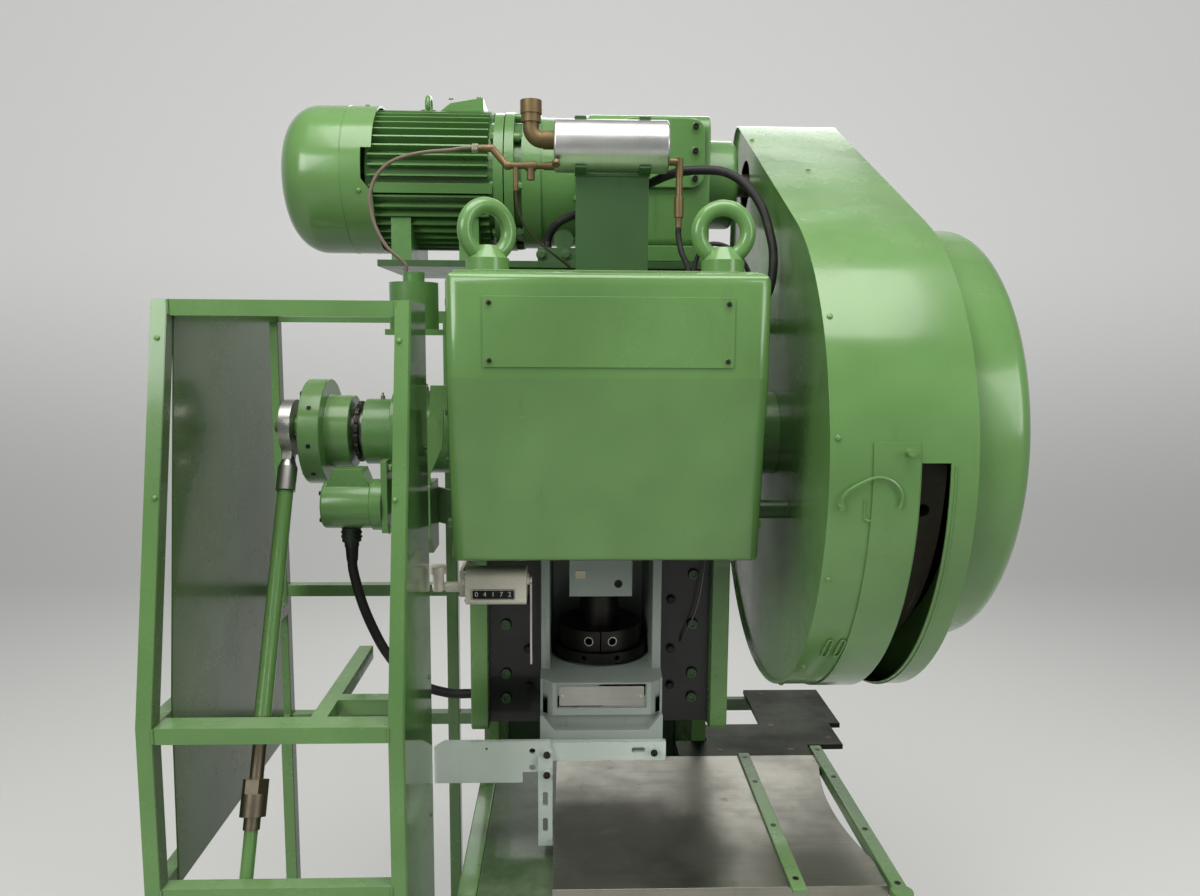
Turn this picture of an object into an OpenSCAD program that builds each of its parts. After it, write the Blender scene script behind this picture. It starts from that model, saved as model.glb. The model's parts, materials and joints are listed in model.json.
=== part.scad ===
// Gap frame stamping press with a geared motor drive, an air clutch and a feed crank.
// The origin is on the floor under the crank centre: +Z up, +Y to the back, +X to the flywheel.

/* [Frame] */
// Width over the outer faces of the two side plates
frame_w = 600; // [560:5:640]
// Thickness of each side plate
plate_t = 40; // [30:1:45]
// Height of the crown's top above the floor
frame_h = 2055; // [2040:5:2120]
// Rear face behind the crank centre
rear_y = 650; // [600:5:720]
// Front edge of the crown ahead of the crank centre
crown_y = 300; // [280:5:320]
// Front face of the bed ahead of the crank centre
bed_y = 420; // [400:5:460]
// Back of the throat behind the crank centre
throat_y = 250; // [230:5:300]
// Height of the top of the bed
bed_z = 790; // [750:5:800]
// Underside of the crown above the floor
crown_z = 1500; // [1490:2:1520]
// Thickness of the base plate
base_t = 40; // [25:1:60]
// Thickness of the cross webs
web_t = 25; // [16:1:32]
// Diameter of the floor bolt holes
floor_bolt_d = 28; // [18:1:40]

/* [Crank and slide] */
// Height of the crank centre
crank_z = 1708; // [1700:1:1714]
// Stroke of the slide
stroke = 100; // [60:5:110]
// Diameter of the main journals
journal_d = 110; // [90:2:120]
// Diameter of the crankpin
pin_d = 120; // [100:2:130]
// Length of the crankpin
pin_l = 150; // [140:2:160]
// Thickness of each crank cheek
cheek_t = 50; // [40:2:55]
// Width of the slide
slide_w = 270; // [260:2:276]
// Front face of the slide ahead of the crank centre
slide_front = 190; // [180:2:200]
// Rear face of the slide behind the crank centre
slide_rear = 182; // [180:1:190]
// Drop from the crankpin's lowest place to the slide's lower face
slide_drop = 658; // [653:1:678]
// Height of the slide's solid block
slide_block = 186; // [180:2:190]
// Thickness of the slide's side walls
slide_wall = 20; // [16:1:24]
// Diameter of the tool shank hole
shank_d = 50; // [32:1:60]
// Diameter of the adjusting screw
screw_d = 90; // [80:1:94]
// Diameter of the ball at the screw's foot
ball_d = 120; // [112:1:124]
// Diameter of the clamping ring
clamp_d = 196; // [180:2:200]
// Height of the clamping ring
clamp_h = 47; // [40:1:54]

/* [Flywheel side] */
// Gap between the frame and the belt guard
guard_gap = 90; // [80:1:110]
// Width of the belt guard
guard_w = 270; // [266:1:290]
// Radius of the belt guard's round part
guard_r = 550; // [546:1:560]
// Sheet thickness of the guards
sheet_t = 4; // [3:0.5:6]
// Radius of the clutch cover
clutch_cover_r = 462; // [440:2:468]
// Depth of the clutch cover
clutch_cover_w = 130; // [120:1:150]
// Radius of the flywheel
flywheel_r = 470; // [455:1:480]
// Width of the flywheel's rim
flywheel_w = 180; // [170:1:190]
// Radius of the drive pulley
pulley_r = 95; // [85:1:100]
// Number of belts
belt_n = 5; // [3:1:5]

/* [Feed side] */
// Length of the main part of the left bearing housing
housing_l = 171; // [160:1:180]
// Length of the housing's stepped nose
nose_l = 64; // [58:1:78]
// Width of the gap that holds the sprocket
sprocket_gap = 24; // [22:1:34]
// Length of the feed crank's hub
feed_hub_l = 58; // [50:1:70]
// Diameter of the feed crank's disc
feed_disc_d = 240; // [230:2:250]
// Offset of the feed pin from the crank centre
feed_pin_r = 50; // [30:1:60]
// Diameter of the feed link's tube
link_d = 34; // [28:1:38]

/* [Motor and gear case] */
// Rise of the motor axis above the crown
motor_rise = 280; // [265:1:290]
// Motor axis behind the crank centre
motor_y = 400; // [390:1:410]
// Outer radius of the motor's fan cowl
cowl_r = 188; // [184:1:192]
// Length of the fan cowl
cowl_l = 242; // [230:1:250]
// Number of cooling fins
fin_n = 44; // [32:2:52]
// Width of the gear case
gear_w = 300; // [280:2:310]
// Height of the gear case
gear_h = 362; // [340:1:370]

/* [Table] */
// Thickness of the steel table
table_t = 50; // [40:1:56]
// Left edge of the table from the press centre
table_left = 104; // [96:1:112]
// Right edge of the table from the press centre
table_right = 570; // [540:5:590]

/* [Side guard] */
// Size of the guard's square tube
tube = 30; // [25:1:40]
// Outer width of the side guard
side_guard_w = 475; // [460:1:490]
// Depth of the side guard
side_guard_d = 800; // [760:5:840]
// Height of the side guard
side_guard_h = 1990; // [1950:5:2030]

/* [Hidden] */
$fn = 64;

// Working clearances
run_gap = 0.05;
seat_gap = 0.1;
slide_gap = 0.5;

// Colours
green = [0.30, 0.52, 0.26];
dark_green = [0.20, 0.38, 0.20];
grey = [0.66, 0.70, 0.68];
steel = [0.55, 0.55, 0.53];
bright = [0.74, 0.74, 0.73];
rust = [0.36, 0.24, 0.17];
bronze = [0.70, 0.52, 0.28];
brass = [0.76, 0.60, 0.32];
black = [0.09, 0.09, 0.09];

// Frame places
side_x = frame_w / 2;
inner_x = side_x - plate_t;
guide_y = 60;
throat_top = 1010;
table_z = bed_z + table_t;
pin_z = crank_z - stroke / 2;
slide_z = pin_z - slide_drop;
motor_z = frame_h + motor_rise;

// Drive places
guard_x = side_x + guard_gap;
guard_x1 = guard_x + guard_w;
guard_c = [36, crank_z - 34];
hood_c = [495, motor_z + 115];
hood_r = 60;
fly_x = guard_x + 50;
fly_x1 = fly_x + flywheel_w;
belt_w = 17;
belt_pitch = 20;
belt_t = 12;
belt_groove = 8;
belt_seat = 6.5;
belt_x = fly_x + 8;
pulley_w = belt_n * belt_pitch + 10;
crank_end_x = guard_x1 + clutch_cover_w - 25;

// Feed side places
nose_x = -side_x - housing_l;
slot_x = nose_x - nose_l;
hub_x = slot_x - sprocket_gap;
disc_x = hub_x - feed_hub_l;
disc_t = 47;
link_x = disc_x - disc_t;
switch_z = crank_z - 155;
switch_y = -85;

// Motor places
gear_x = -26;
gear_front = 200;
base_rise = 42;
gear_z = frame_h + base_rise + 16;
drum_l = 238;
flange_x = gear_x - drum_l;
body_l = 321;
body_x = flange_x - body_l;
body_r = 150;
fin_h = 28;
cowl_x = body_x - cowl_l + 23;

// Moves a profile drawn in Y and Z along X
module along_x(x0, x1) {
    translate([x0, 0, 0]) rotate([90, 0, 90]) linear_extrude(x1 - x0) children();
}
// Moves a profile drawn in X and Z along Y
module along_y(y0, y1) {
    translate([0, y1, 0]) rotate([90, 0, 0]) linear_extrude(y1 - y0) children();
}
module rod_x(x0, x1, d, y = 0, z = 0) {
    translate([x0, y, z]) rotate([0, 90, 0]) cylinder(h = x1 - x0, d = d);
}
module rod_y(y0, y1, d, x = 0, z = 0) {
    translate([x, y1, z]) rotate([90, 0, 0]) cylinder(h = y1 - y0, d = d);
}
module rod_z(z0, z1, d, x = 0, y = 0) {
    translate([x, y, z0]) cylinder(h = z1 - z0, d = d);
}
module block(x0, x1, y0, y1, z0, z1) {
    translate([x0, y0, z0]) cube([x1 - x0, y1 - y0, z1 - z0]);
}
// Turns a profile of radius and height about the X axis
module lathe_x(y, z) {
    translate([0, y, z]) rotate([0, 90, 0]) rotate_extrude() children();
}

// One corner of an outline, rounded with radius p[2]
function unit(v) = v / norm(v);
function xy(p) = [p[0], p[1]];
function corner(a, p, b, r, n = 6) =
    r <= 0 ? [p] :
    let (u = unit(a - p), v = unit(b - p), half = acos(u * v) / 2,
         c = p + unit(u + v) * r / sin(half),
         s = p + u * r / tan(half) - c, e = p + v * r / tan(half) - c,
         a0 = atan2(s[1], s[0]), turn = (atan2(e[1], e[0]) - a0 + 540) % 360 - 180)
    [for (i = [0:n]) c + r * [cos(a0 + turn * i / n), sin(a0 + turn * i / n)]];
function rounded(pts) =
    let (m = len(pts))
    [for (i = [0:m - 1])
        each corner(xy(pts[(i + m - 1) % m]), xy(pts[i]), xy(pts[(i + 1) % m]), pts[i][2])];
function box_outline(x0, x1, z0, z1, r) =
    rounded([[x0, z0, r], [x1, z0, r], [x1, z1, r], [x0, z1, r]]);

// Outline of a band drawn tight round two circles
function band(c1, r1, c2, r2, n = 40) =
    let (d = c2 - c1, dir = atan2(d[1], d[0]), half = acos((r1 - r2) / norm(d)))
    concat([for (i = [0:n]) let (a = dir + half + (360 - 2 * half) * i / n)
                c1 + r1 * [cos(a), sin(a)]],
           [for (i = [0:n / 2]) let (a = dir - half + 2 * half * i / (n / 2))
                c2 + r2 * [cos(a), sin(a)]]);

// A smooth route through chosen points, and a round tube swept along it
function blend4(a, b, c, d, t) =
    0.5 * (2 * b + (c - a) * t + (2 * a - 5 * b + 4 * c - d) * t * t
           + (3 * b - a - 3 * c + d) * t * t * t);
function smooth(p, n) =
    let (m = len(p) - 1)
    concat([for (i = [0:m - 1], j = [0:n - 1])
                blend4(p[max(i - 1, 0)], p[i], p[i + 1], p[min(i + 2, m)], j / n)], [p[m]]);
module tube_along(route, d, sides = 8) {
    m = len(route);
    tangents = [for (i = [0:m - 1]) unit(route[min(i + 1, m - 1)] - route[max(i - 1, 0)])];
    start = unit(cross(tangents[0], abs(tangents[0][2]) < 0.8 ? [0, 0, 1] : [0, 1, 0]));
    normals = [for (i = 0, v = start; i < m;
                    i = i + 1, v = i < m ? unit(v - (v * tangents[i]) * tangents[i]) : v) v];
    points = [for (i = [0:m - 1], k = [0:sides - 1])
                let (a = -360 * k / sides)
                route[i] + d / 2 * (normals[i] * cos(a) + cross(tangents[i], normals[i]) * sin(a))];
    walls = [for (i = [0:m - 2], k = [0:sides - 1])
                let (a = i * sides + k, b = i * sides + (k + 1) % sides)
                each [[a, b, b + sides], [a, b + sides, a + sides]]];
    ends = [[for (k = [sides - 1:-1:0]) k], [for (k = [0:sides - 1]) (m - 1) * sides + k]];
    polyhedron(points, concat(walls, ends));
}

// Base and welded frame
module base_plate() {
    color(dark_green)
    difference() {
        linear_extrude(base_t)
            polygon(box_outline(-side_x - 60, side_x + 60, -bed_y - 20, rear_y + 20, 20));
        for (x = [-1, 1], y = [-bed_y + 60, rear_y - 60])
            rod_z(-1, base_t + 1, floor_bolt_d, x * (side_x + 30), y);
    }
}
module side_plate(x0, x1) {
    difference() {
        along_x(x0, x1) polygon(rounded([
            [-bed_y, base_t, 0], [rear_y, base_t, 0], [rear_y, frame_h, 60],
            [-crown_y, frame_h, 12], [-crown_y, crown_z, 30], [-guide_y, crown_z - 70, 40],
            [-guide_y, throat_top, 20], [throat_y, throat_top - 50, 70],
            [throat_y, bed_z, 40], [-bed_y, bed_z, 15]]));
        rod_x(x0 - 1, x1 + 1, journal_d + 40, 0, crank_z);
    }
}
module side_plate_left() {
    color(green) side_plate(-side_x, -inner_x);
}
module side_plate_right() {
    color(green) side_plate(inner_x, side_x);
}
module crown_box() {
    color(green)
    difference() {
        union() {
            block(-inner_x, inner_x, -crown_y, rear_y - web_t, frame_h - web_t, frame_h);
            block(-inner_x, inner_x, rear_y - web_t, rear_y, crown_z - 170, frame_h);
        }
        for (x = [-1, 1]) rod_z(frame_h - web_t - 1, frame_h + 1, eye_stem + 2 * seat_gap, x * eye_x, eye_y);
    }
}
module bed_box() {
    color(dark_green) {
        difference() {
            block(-inner_x, inner_x, -bed_y, throat_y, bed_z - 70, bed_z);
            rod_z(bed_z - 71, bed_z + 1, 140);
        }
        difference() {
            block(-inner_x, inner_x, -bed_y, -bed_y + web_t, base_t, bed_z - 70);
            along_y(-bed_y - 1, -bed_y + web_t + 1) polygon(box_outline(-150, 150, 200, bed_z - 190, 40));
        }
        block(-inner_x, inner_x, rear_y - web_t, rear_y, base_t, bed_z - 20);
    }
}

// Crankshaft bearings
module bearing_flange(r) {
    for (i = [0:5]) rotate([30 + 60 * i, 0, 0]) rod_x(0, 14, 24, r, 0);
}
module bearing_housing_left() {
    color(green)
    difference() {
        union() {
            rod_x(-side_x - 26, -side_x, 260, 0, crank_z);
            rod_x(nose_x, -side_x, 190, 0, crank_z);
            rod_x(slot_x, nose_x, 150, 0, crank_z);
            translate([-side_x - 39, 0, crank_z]) bearing_flange(113);
        }
        rod_x(slot_x - 1, -side_x + 1, journal_d + 30, 0, crank_z);
    }
}
module bearing_housing_right() {
    color(green)
    difference() {
        union() {
            rod_x(side_x, side_x + 26, 260, 0, crank_z);
            rod_x(side_x, guard_x + 20, 190, 0, crank_z);
            translate([side_x + 25, 0, crank_z]) bearing_flange(113);
        }
        rod_x(side_x - 1, guard_x + 21, journal_d + 30, 0, crank_z);
    }
}
module bush(x0, x1) {
    difference() {
        rod_x(x0, x1, journal_d + 30 - 2 * seat_gap, 0, crank_z);
        rod_x(x0 - 1, x1 + 1, journal_d + 2 * run_gap, 0, crank_z);
    }
}
module bush_collar(x0, x1) {
    difference() {
        rod_x(x0, x1, journal_d + 40 - 2 * seat_gap, 0, crank_z);
        rod_x(x0 - 1, x1 + 1, journal_d + 2 * run_gap, 0, crank_z);
    }
}
module crank_bushes() {
    color(bronze) {
        bush(slot_x + 1, -side_x);
        bush_collar(-side_x, -inner_x + 2);
        bush(side_x, guard_x + 19);
        bush_collar(inner_x - 2, side_x);
    }
}

// Gibs that guide the slide
flange_t = 60;
flange_y = 40;
flange_w = 50;
gib_z0 = throat_top + 5;
gib_z1 = crown_z - 75;
module gib() {
    translate([0, 0, gib_z0])
    difference() {
        linear_extrude(gib_z1 - gib_z0) difference() {
            translate([slide_w / 2 + slide_gap, flange_y - 60])
                square([inner_x - slide_w / 2 - slide_gap, flange_t + 110]);
            translate([slide_w / 2, flange_y - slide_gap])
                square([flange_w + slide_gap, flange_t + 2 * slide_gap]);
        }
        for (z = [60, 120, 240, 360])
            rod_y(flange_y - 61, flange_y - 50, 26, inner_x - 40, z);
    }
    for (z = [60, 120, 240, 360])
        rod_y(flange_y - 64, flange_y - 50, 24, inner_x - 40, gib_z0 + z);
}
module slide_gibs() {
    color(dark_green) {
        gib();
        mirror([1, 0, 0]) gib();
    }
}

// Front cover over the crank: an upright upper part and a lower part that leans back
cover_r = 28;
cover_front = crown_y + 130;
cover_foot = crown_y + 70;
cover_crease = crank_z + 142;
cover_z0 = crown_z - 8;
cover_low_r = 14;
cover_z1 = frame_h - 10;
cover_lean = atan((cover_front - cover_foot) / (cover_crease - cover_z0));
module cover_plan(h, i) {
    linear_extrude(h) polygon(rounded([
        [-side_x + i, 0, 0], [-side_x + i, -cover_front + i, cover_r - i],
        [side_x - i, -cover_front + i, cover_r - i], [side_x - i, 0, 0]]));
}
module cover_form(i) {
    intersection() {
        along_x(-side_x + i, side_x - i) polygon(rounded([
            [-crown_y + i, cover_z0 + i, 0], [-cover_foot + i, cover_z0 + i, cover_low_r - i],
            [-cover_front + i, cover_crease, 60], [-cover_front + i, cover_z1 - i, cover_r - i],
            [-crown_y + i, cover_z1 - i, 0]]));
        along_y(-cover_front, -crown_y + i) polygon(rounded([
            [-side_x + i, cover_z0 + i, cover_low_r - i], [side_x - i, cover_z0 + i, cover_low_r - i],
            [side_x - i, cover_z1 - i, cover_r - i], [-side_x + i, cover_z1 - i, cover_r - i]]));
        union() {
            translate([0, 0, cover_crease]) cover_plan(400, i);
            translate([0, -cover_front, cover_crease]) rotate([cover_lean, 0, 0])
                translate([0, cover_front, -500]) cover_plan(500.5, i);
        }
    }
}
module front_cover() {
    color(green) difference() {
        cover_form(0);
        cover_form(sheet_t);
    }
}
plate_h = 128;
plate_z1 = cover_z1 - 47;
plate_z = [plate_z1 - plate_h, plate_z1];
plate_w = frame_w - 140;
module name_plate() {
    color(green) {
        along_y(-cover_front - 3, -cover_front)
            polygon(box_outline(-plate_w / 2, plate_w / 2, plate_z[0], plate_z[1], 3));
        for (x = [12 - plate_w / 2, plate_w / 2 - 12], z = [plate_z[0] + 12, plate_z[1] - 12])
            rod_y(-cover_front - 6, -cover_front - 3, 9, x, z);
    }
}

// Lifting eyes
eye_x = inner_x - 22;
eye_y = -230;
eye_tube = 32;
eye_r = 50;
eye_stem = 36;
eye_rise = 81;
module lifting_eye(turn) {
    translate([0, 0, frame_h]) rotate([0, 0, turn]) {
        rod_z(-web_t, 0, eye_stem);
        rod_z(0, 26, 88);
        translate([0, 0, 26]) cylinder(h = 26, d1 = 84, d2 = 44);
        translate([0, 0, eye_rise]) rotate([90, 0, 0]) rotate_extrude()
            translate([eye_r, 0]) circle(d = eye_tube);
    }
}
module lifting_eyes() {
    color(green) for (s = [-1, 1]) translate([s * eye_x, eye_y, 0]) lifting_eye(s < 0 ? 35 : 0);
}

// Table
table_front = 416;
table_back = 155;
rail_x = 370;
rail_w = 30;
rail_t = 8;
rail_let = 2;
module table_plate() {
    color(steel)
    difference() {
        block(-table_left, table_right, -table_front, table_back, bed_z, table_z);
        rod_z(bed_z - 1, table_z + 1, 1540, table_right + 740, -120);
        block(rail_x, rail_x + rail_w, -table_front - 1, table_back + 1, table_z - rail_let, table_z + 1);
    }
}
module table_rails() {
    color(green) {
        block(rail_x, rail_x + rail_w, -table_front - 20, table_back, table_z - rail_let, table_z + rail_t);
        block(table_right, table_right + rail_w, -table_front - 30, table_back + 40,
              table_z - 22, table_z + rail_t);
        rod_z(table_z - 22, table_z + rail_t, 44, table_right + rail_w / 2, -table_front - 30);
    }
}
module rear_plate() {
    x = table_right + 30;
    color(steel)
    translate([0, 0, table_z - 14]) linear_extrude(14) polygon([
        [inner_x - 43, table_back], [table_right, table_back], [table_right, table_back + 60],
        [x + 68, table_back + 60], [x + 68, 350], [x + 100, 350], [x + 100, 600], [x - 130, 600],
        [x - 130, 350], [side_x + 2, 350], [side_x + 2, throat_y - 5], [inner_x - 43, throat_y - 5]]);
}
module table_bracket() {
    color(dark_green) {
        along_x(side_x + 130, side_x + 150) polygon([
            [-350, bed_z], [table_back - 20, bed_z], [table_back - 20, bed_z - 60],
            [-60, 420], [-150, 420], [-350, bed_z - 60]]);
        block(side_x, side_x + 130, -120, -90, 450, bed_z);
        block(side_x, side_x + 16, -150, -60, 420, bed_z);
        for (y = [200, 330, 560])
            block(side_x, y > 400 ? table_right + 30 : table_right - 10, y, y + 24, table_z - 50, table_z - 14);
    }
}

// Motor
motor_eye_x = body_x + 140;
module motor_frame() {
    color(green)
    difference() {
        union() {
            rod_x(body_x + 40, flange_x, 2 * body_r, motor_y, motor_z);
            along_x(body_x + 12, flange_x - 14) translate([motor_y, motor_z])
                for (i = [0:fin_n - 1]) rotate(360 * (i + 0.5) / fin_n)
                    translate([body_r - 5, -2]) square([fin_h + 5, 4]);
            rod_x(body_x, body_x + 40, 2 * body_r, motor_y, motor_z);
            for (a = [45:90:315]) translate([body_x, motor_y, motor_z]) rotate([a, 0, 0])
                block(0, 12, -14, 14, body_r - 5, cowl_r - 5.7);
            translate([0, motor_y, motor_z]) rotate([14, 0, 0])
                block(body_x + 24, flange_x - 2, -body_r - fin_h, 5 - body_r, -12, 12);
            for (x = [body_x + 60, flange_x - 90])
                block(x, x + 50, motor_y - 135, motor_y + 135, gear_z, motor_z - 110);
            rod_z(motor_z + body_r - 4, motor_z + body_r + fin_h + 4, 44, motor_eye_x, motor_y);
            translate([motor_eye_x, motor_y, motor_z + body_r + fin_h + 17]) rotate([0, 90, 0])
                rotate_extrude() translate([20, 0]) circle(d = 15);
        }
        rod_x(body_x - 1, body_x + 60, 40, motor_y, motor_z);
    }
}
dome_l = 88;
dome_h = 96;
module cowl_profile(t) {
    polygon(concat([[0, cowl_x + t]],
        [for (a = [0:9:90]) [cowl_r - dome_h + (dome_h - t) * sin(a), cowl_x + dome_l - (dome_l - t) * cos(a)]],
        [[cowl_r - t, cowl_x + cowl_l + t], [0, cowl_x + cowl_l + t]]));
}
module fan_cowl() {
    color(green)
    difference() {
        translate([0, motor_y, motor_z]) rotate([0, 90, 0]) rotate_extrude() difference() {
            cowl_profile(0);
            cowl_profile(5);
        }
        for (r = [30:18:84])
            translate([0, motor_y, motor_z]) for (a = [0:90:270]) rotate([a, 0, 0])
                translate([cowl_x - 1, 0, 0]) rotate([0, 90, 0])
                    rotate_extrude(angle = 78) translate([r, 0]) square([9, 9]);
        along_y(motor_y - cowl_r - 1, motor_y - 100) translate([cowl_x + cowl_l, motor_z])
            polygon([[-26, 52], [1, 52], [1, -52], [-3, -52], [-26, -24]]);
    }
}
module cooling_fan() {
    x = cowl_x + 90;
    color(black) {
        rod_x(x, body_x + 50, 39.9, motor_y, motor_z);
        rod_x(x + 10, x + 50, 90, motor_y, motor_z);
        translate([x + 46, motor_y, motor_z]) {
            rod_x(0, 4, 300);
            for (a = [0:45:315]) rotate([a, 0, 0]) block(-36, 0, 44, 148, -2, 2);
        }
    }
}
module terminal_box() {
    top = motor_z + body_r;
    x = flange_x - 173;
    color(green)
    difference() {
        along_y(motor_y - 30, motor_y + 110) polygon([
            [x, top - 20], [x + 140, top - 20], [x + 137, top + 62], [x + 52, top + 47], [x, top + 6]]);
        rod_x(body_x, flange_x, 2 * (body_r + fin_h + seat_gap), motor_y, motor_z);
    }
}
module motor_flange() {
    color(green)
    difference() {
        union() {
            rod_x(flange_x, flange_x + 24, 350, motor_y, motor_z);
            rod_x(flange_x + 27, flange_x + 50, 354, motor_y, motor_z);
            rod_x(flange_x + 24, gear_x, 300, motor_y, motor_z);
            rod_x(flange_x + 70, flange_x + 118, 340, motor_y, motor_z);
            rod_x(flange_x + 118, gear_x - 30, 330, motor_y, motor_z);
            rod_x(gear_x - 30, gear_x, 344, motor_y, motor_z);
            for (i = [0:7]) translate([flange_x + 50, motor_y, motor_z]) rotate([45 * i + 12, 0, 0])
                rod_x(0, 15, 24, 163, 0);
        }
        rod_x(flange_x - 1, gear_x + 1, 80, motor_y, motor_z);
    }
}
gear_back = motor_y + 210;
boss_x1 = gear_x + gear_w + 88;
module gear_housing() {
    color(green)
    difference() {
        union() {
            along_x(gear_x, gear_x + gear_w) polygon(rounded([
                [gear_front, gear_z + 40, 20], [gear_back, gear_z + 40, 20],
                [gear_back, gear_z + gear_h, 40], [gear_front, gear_z + gear_h, 40]]));
            block(gear_x - 10, gear_x + gear_w + 10, gear_front - 15, gear_back + 15, gear_z, gear_z + 40);
            rod_x(gear_x + gear_w, gear_x + gear_w + 10, 206, motor_y, motor_z);
            lathe_x(motor_y, motor_z) polygon(rounded([[0, gear_x + gear_w + 8, 0],
                [114, gear_x + gear_w + 8, 2], [114, boss_x1, 16], [0, boss_x1, 0]]));
        }
        rod_x(gear_x + gear_w - 60, boss_x1 + 1, 60 + 2 * run_gap, motor_y, motor_z);
    }
}
module gear_cover() {
    x0 = gear_x + 72;
    x1 = gear_x + gear_w - 16;
    z1 = gear_z + gear_h - 16;
    z0 = z1 - 166;
    color(green) {
        along_y(gear_front - 14, gear_front) polygon(box_outline(x0, x1, z0, z1, 32));
        for (x = [x0 + 24, x1 - 24], z = [z0 + 22, z0 + 88, z1 - 20])
            rod_y(gear_front - 20, gear_front - 14, 15, x, z);
    }
}
module motor_base() {
    color(dark_green)
    difference() {
        union() {
            block(body_x + 40, gear_x + gear_w + 20, motor_y - 215, motor_y + 225, gear_z - 16, gear_z);
            for (y = [motor_y - 180, motor_y + 140])
                block(-inner_x, inner_x, y, y + 40, frame_h, gear_z - 16);
            block(gear_x - 126, gear_x - 32, motor_y - 210, motor_y - 150, gear_z, gear_z + 33);
            rod_y(motor_y - 207, motor_y - 160, 48, gear_x - 62, gear_z + 54);
        }
        for (x = [body_x + 85, flange_x - 65], y = [-100, 100])
            rod_z(gear_z - 17, gear_z + 1, 14, x, motor_y + y);
    }
}

// Air tank
tank_x = [-107, 142];
tank_y = -50;
tank_z = frame_h + 285;
tank_d = 112;
module air_tank() {
    color(bright)
    translate([0, tank_y, tank_z]) rotate([0, 90, 0]) rotate_extrude() polygon(rounded([
        [0, tank_x[0], 0], [tank_d / 2, tank_x[0], 5], [tank_d / 2, tank_x[1], 5], [0, tank_x[1], 0]]));
}
bracket_x = [-62, 103];
strap_w = 25;
module tank_strap(x, from, sweep) {
    translate([x, tank_y, tank_z]) rotate([0, 90, 0]) rotate([0, 0, from])
        rotate_extrude(angle = sweep) translate([tank_d / 2 + seat_gap, 0]) square([7, strap_w]);
}
module tank_bracket() {
    color(dark_green) {
        block(bracket_x[0] + 2, bracket_x[1] - 2, tank_y - 4, tank_y + 4, frame_h, tank_z - tank_d / 2 - 4);
        block(bracket_x[0] + 2, bracket_x[1] - 2, tank_y, tank_y + 45, frame_h, frame_h + 12);
        for (x = [bracket_x[0], bracket_x[1] - strap_w]) tank_strap(x, -36, 228);
    }
}
elbow_z = tank_z + 12;
module air_fittings() {
    tee_z = tank_z - 43;
    x = tank_x[0] - 50;
    color(brass) {
        rod_x(x + 26, tank_x[0], 40, tank_y, elbow_z);
        translate([x + 26, tank_y, elbow_z + 26]) rotate([90, 0, 0]) rotate_extrude(angle = 90)
            translate([-26, 0]) circle(d = 36);
        rod_z(elbow_z + 26, elbow_z + 36, 36, x, tank_y);
        rod_z(elbow_z + 36, elbow_z + 54, 43, x, tank_y);
        rod_x(x - 52, tank_x[0], 14, tank_y, tee_z);
        rod_x(x - 13, x + 11, 21, tank_y, tee_z);
        rod_z(tee_z - 30, tee_z, 18, x - 1, tank_y);
        rod_x(tank_x[0] - 22, tank_x[0], 18, tank_y, tee_z);
        rod_z(tee_z - 44, tee_z, 12, x - 34, tank_y);
        rod_x(x - 58, x - 44, 18, tank_y, tee_z);
        translate([x - 53, tank_y, tee_z]) rotate([0, -42, 0]) rod_z(-4, 46, 16);
        rod_x(x - 104, x - 80, 16, tank_y, tee_z + 36);
        rod_x(x - 116, x - 100, 12, tank_y, tee_z + 36);
        rod_x(tank_x[1], tank_x[1] + 26, 16, tank_y, tank_z - 31);
        rod_z(tank_z - 62, tank_z - 23, 17, tank_x[1] + 26, tank_y);
        rod_z(tank_z - 106, tank_z - 62, 15, tank_x[1] + 26, tank_y);
        rod_z(tank_z - 150, tank_z - 106, 21, tank_x[1] + 26, tank_y);
        rod_z(tank_z - 172, tank_z - 150, 14, tank_x[1] + 26, tank_y);
    }
    color(green) rod_z(elbow_z + 54, elbow_z + 82, 47, x, tank_y);
}

// Lines that are held at both ends, with routes of chosen points
signal_route = [[-273.3, -50, 2333], [-290, -50, 2333], [-308, -51, 2332], [-333, -55, 2327],
    [-385, -65, 2320], [-433, -75, 2307], [-466, -80, 2289], [-489, -85, 2261], [-500, -90, 2225],
    [-498, -92, 2193], [-487, -96, 2155], [-464, -100, 2115], [-434, -100, 2088], [-424, -100, 2076],
    [-424, -100, 2069], [-424, -100, 2062.4]];
module signal_tube() {
    color(black) tube_along(smooth(signal_route, 2), 8);
}
conduit_route = [[-128, 215, 2146.4], [-128, 215, 2156], [-128, 215, 2166], [-122, 208, 2184],
    [-98, 190, 2208], [-60, 170, 2224], [-1, 120, 2245], [56, 70, 2261], [106, 30, 2275], [166, 0, 2295],
    [230, -10, 2300], [281, -20, 2292], [323, -35, 2260], [353, -50, 2213], [368, -66, 2158],
    [374, -80, 2114], [371, -92, 2064], [360, -98, 2022], [338, -100, 1996], [322, -100, 1991],
    [311, -100, 1991], [300.3, -100, 1991]];
module motor_conduit() {
    color(black) tube_along(smooth(conduit_route, 2), 20);
}
hose_route = [[168, -50, 2167.7], [168, -50, 2160], [168, -50, 2152], [171, -54, 2132], [176, -60, 2110],
    [186, -64, 2088], [190, -65, 2074], [190, -65, 2064], [190, -65, 2055.3]];
module tank_hose() {
    color(black) tube_along(smooth(hose_route, 2), 13);
}

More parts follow.
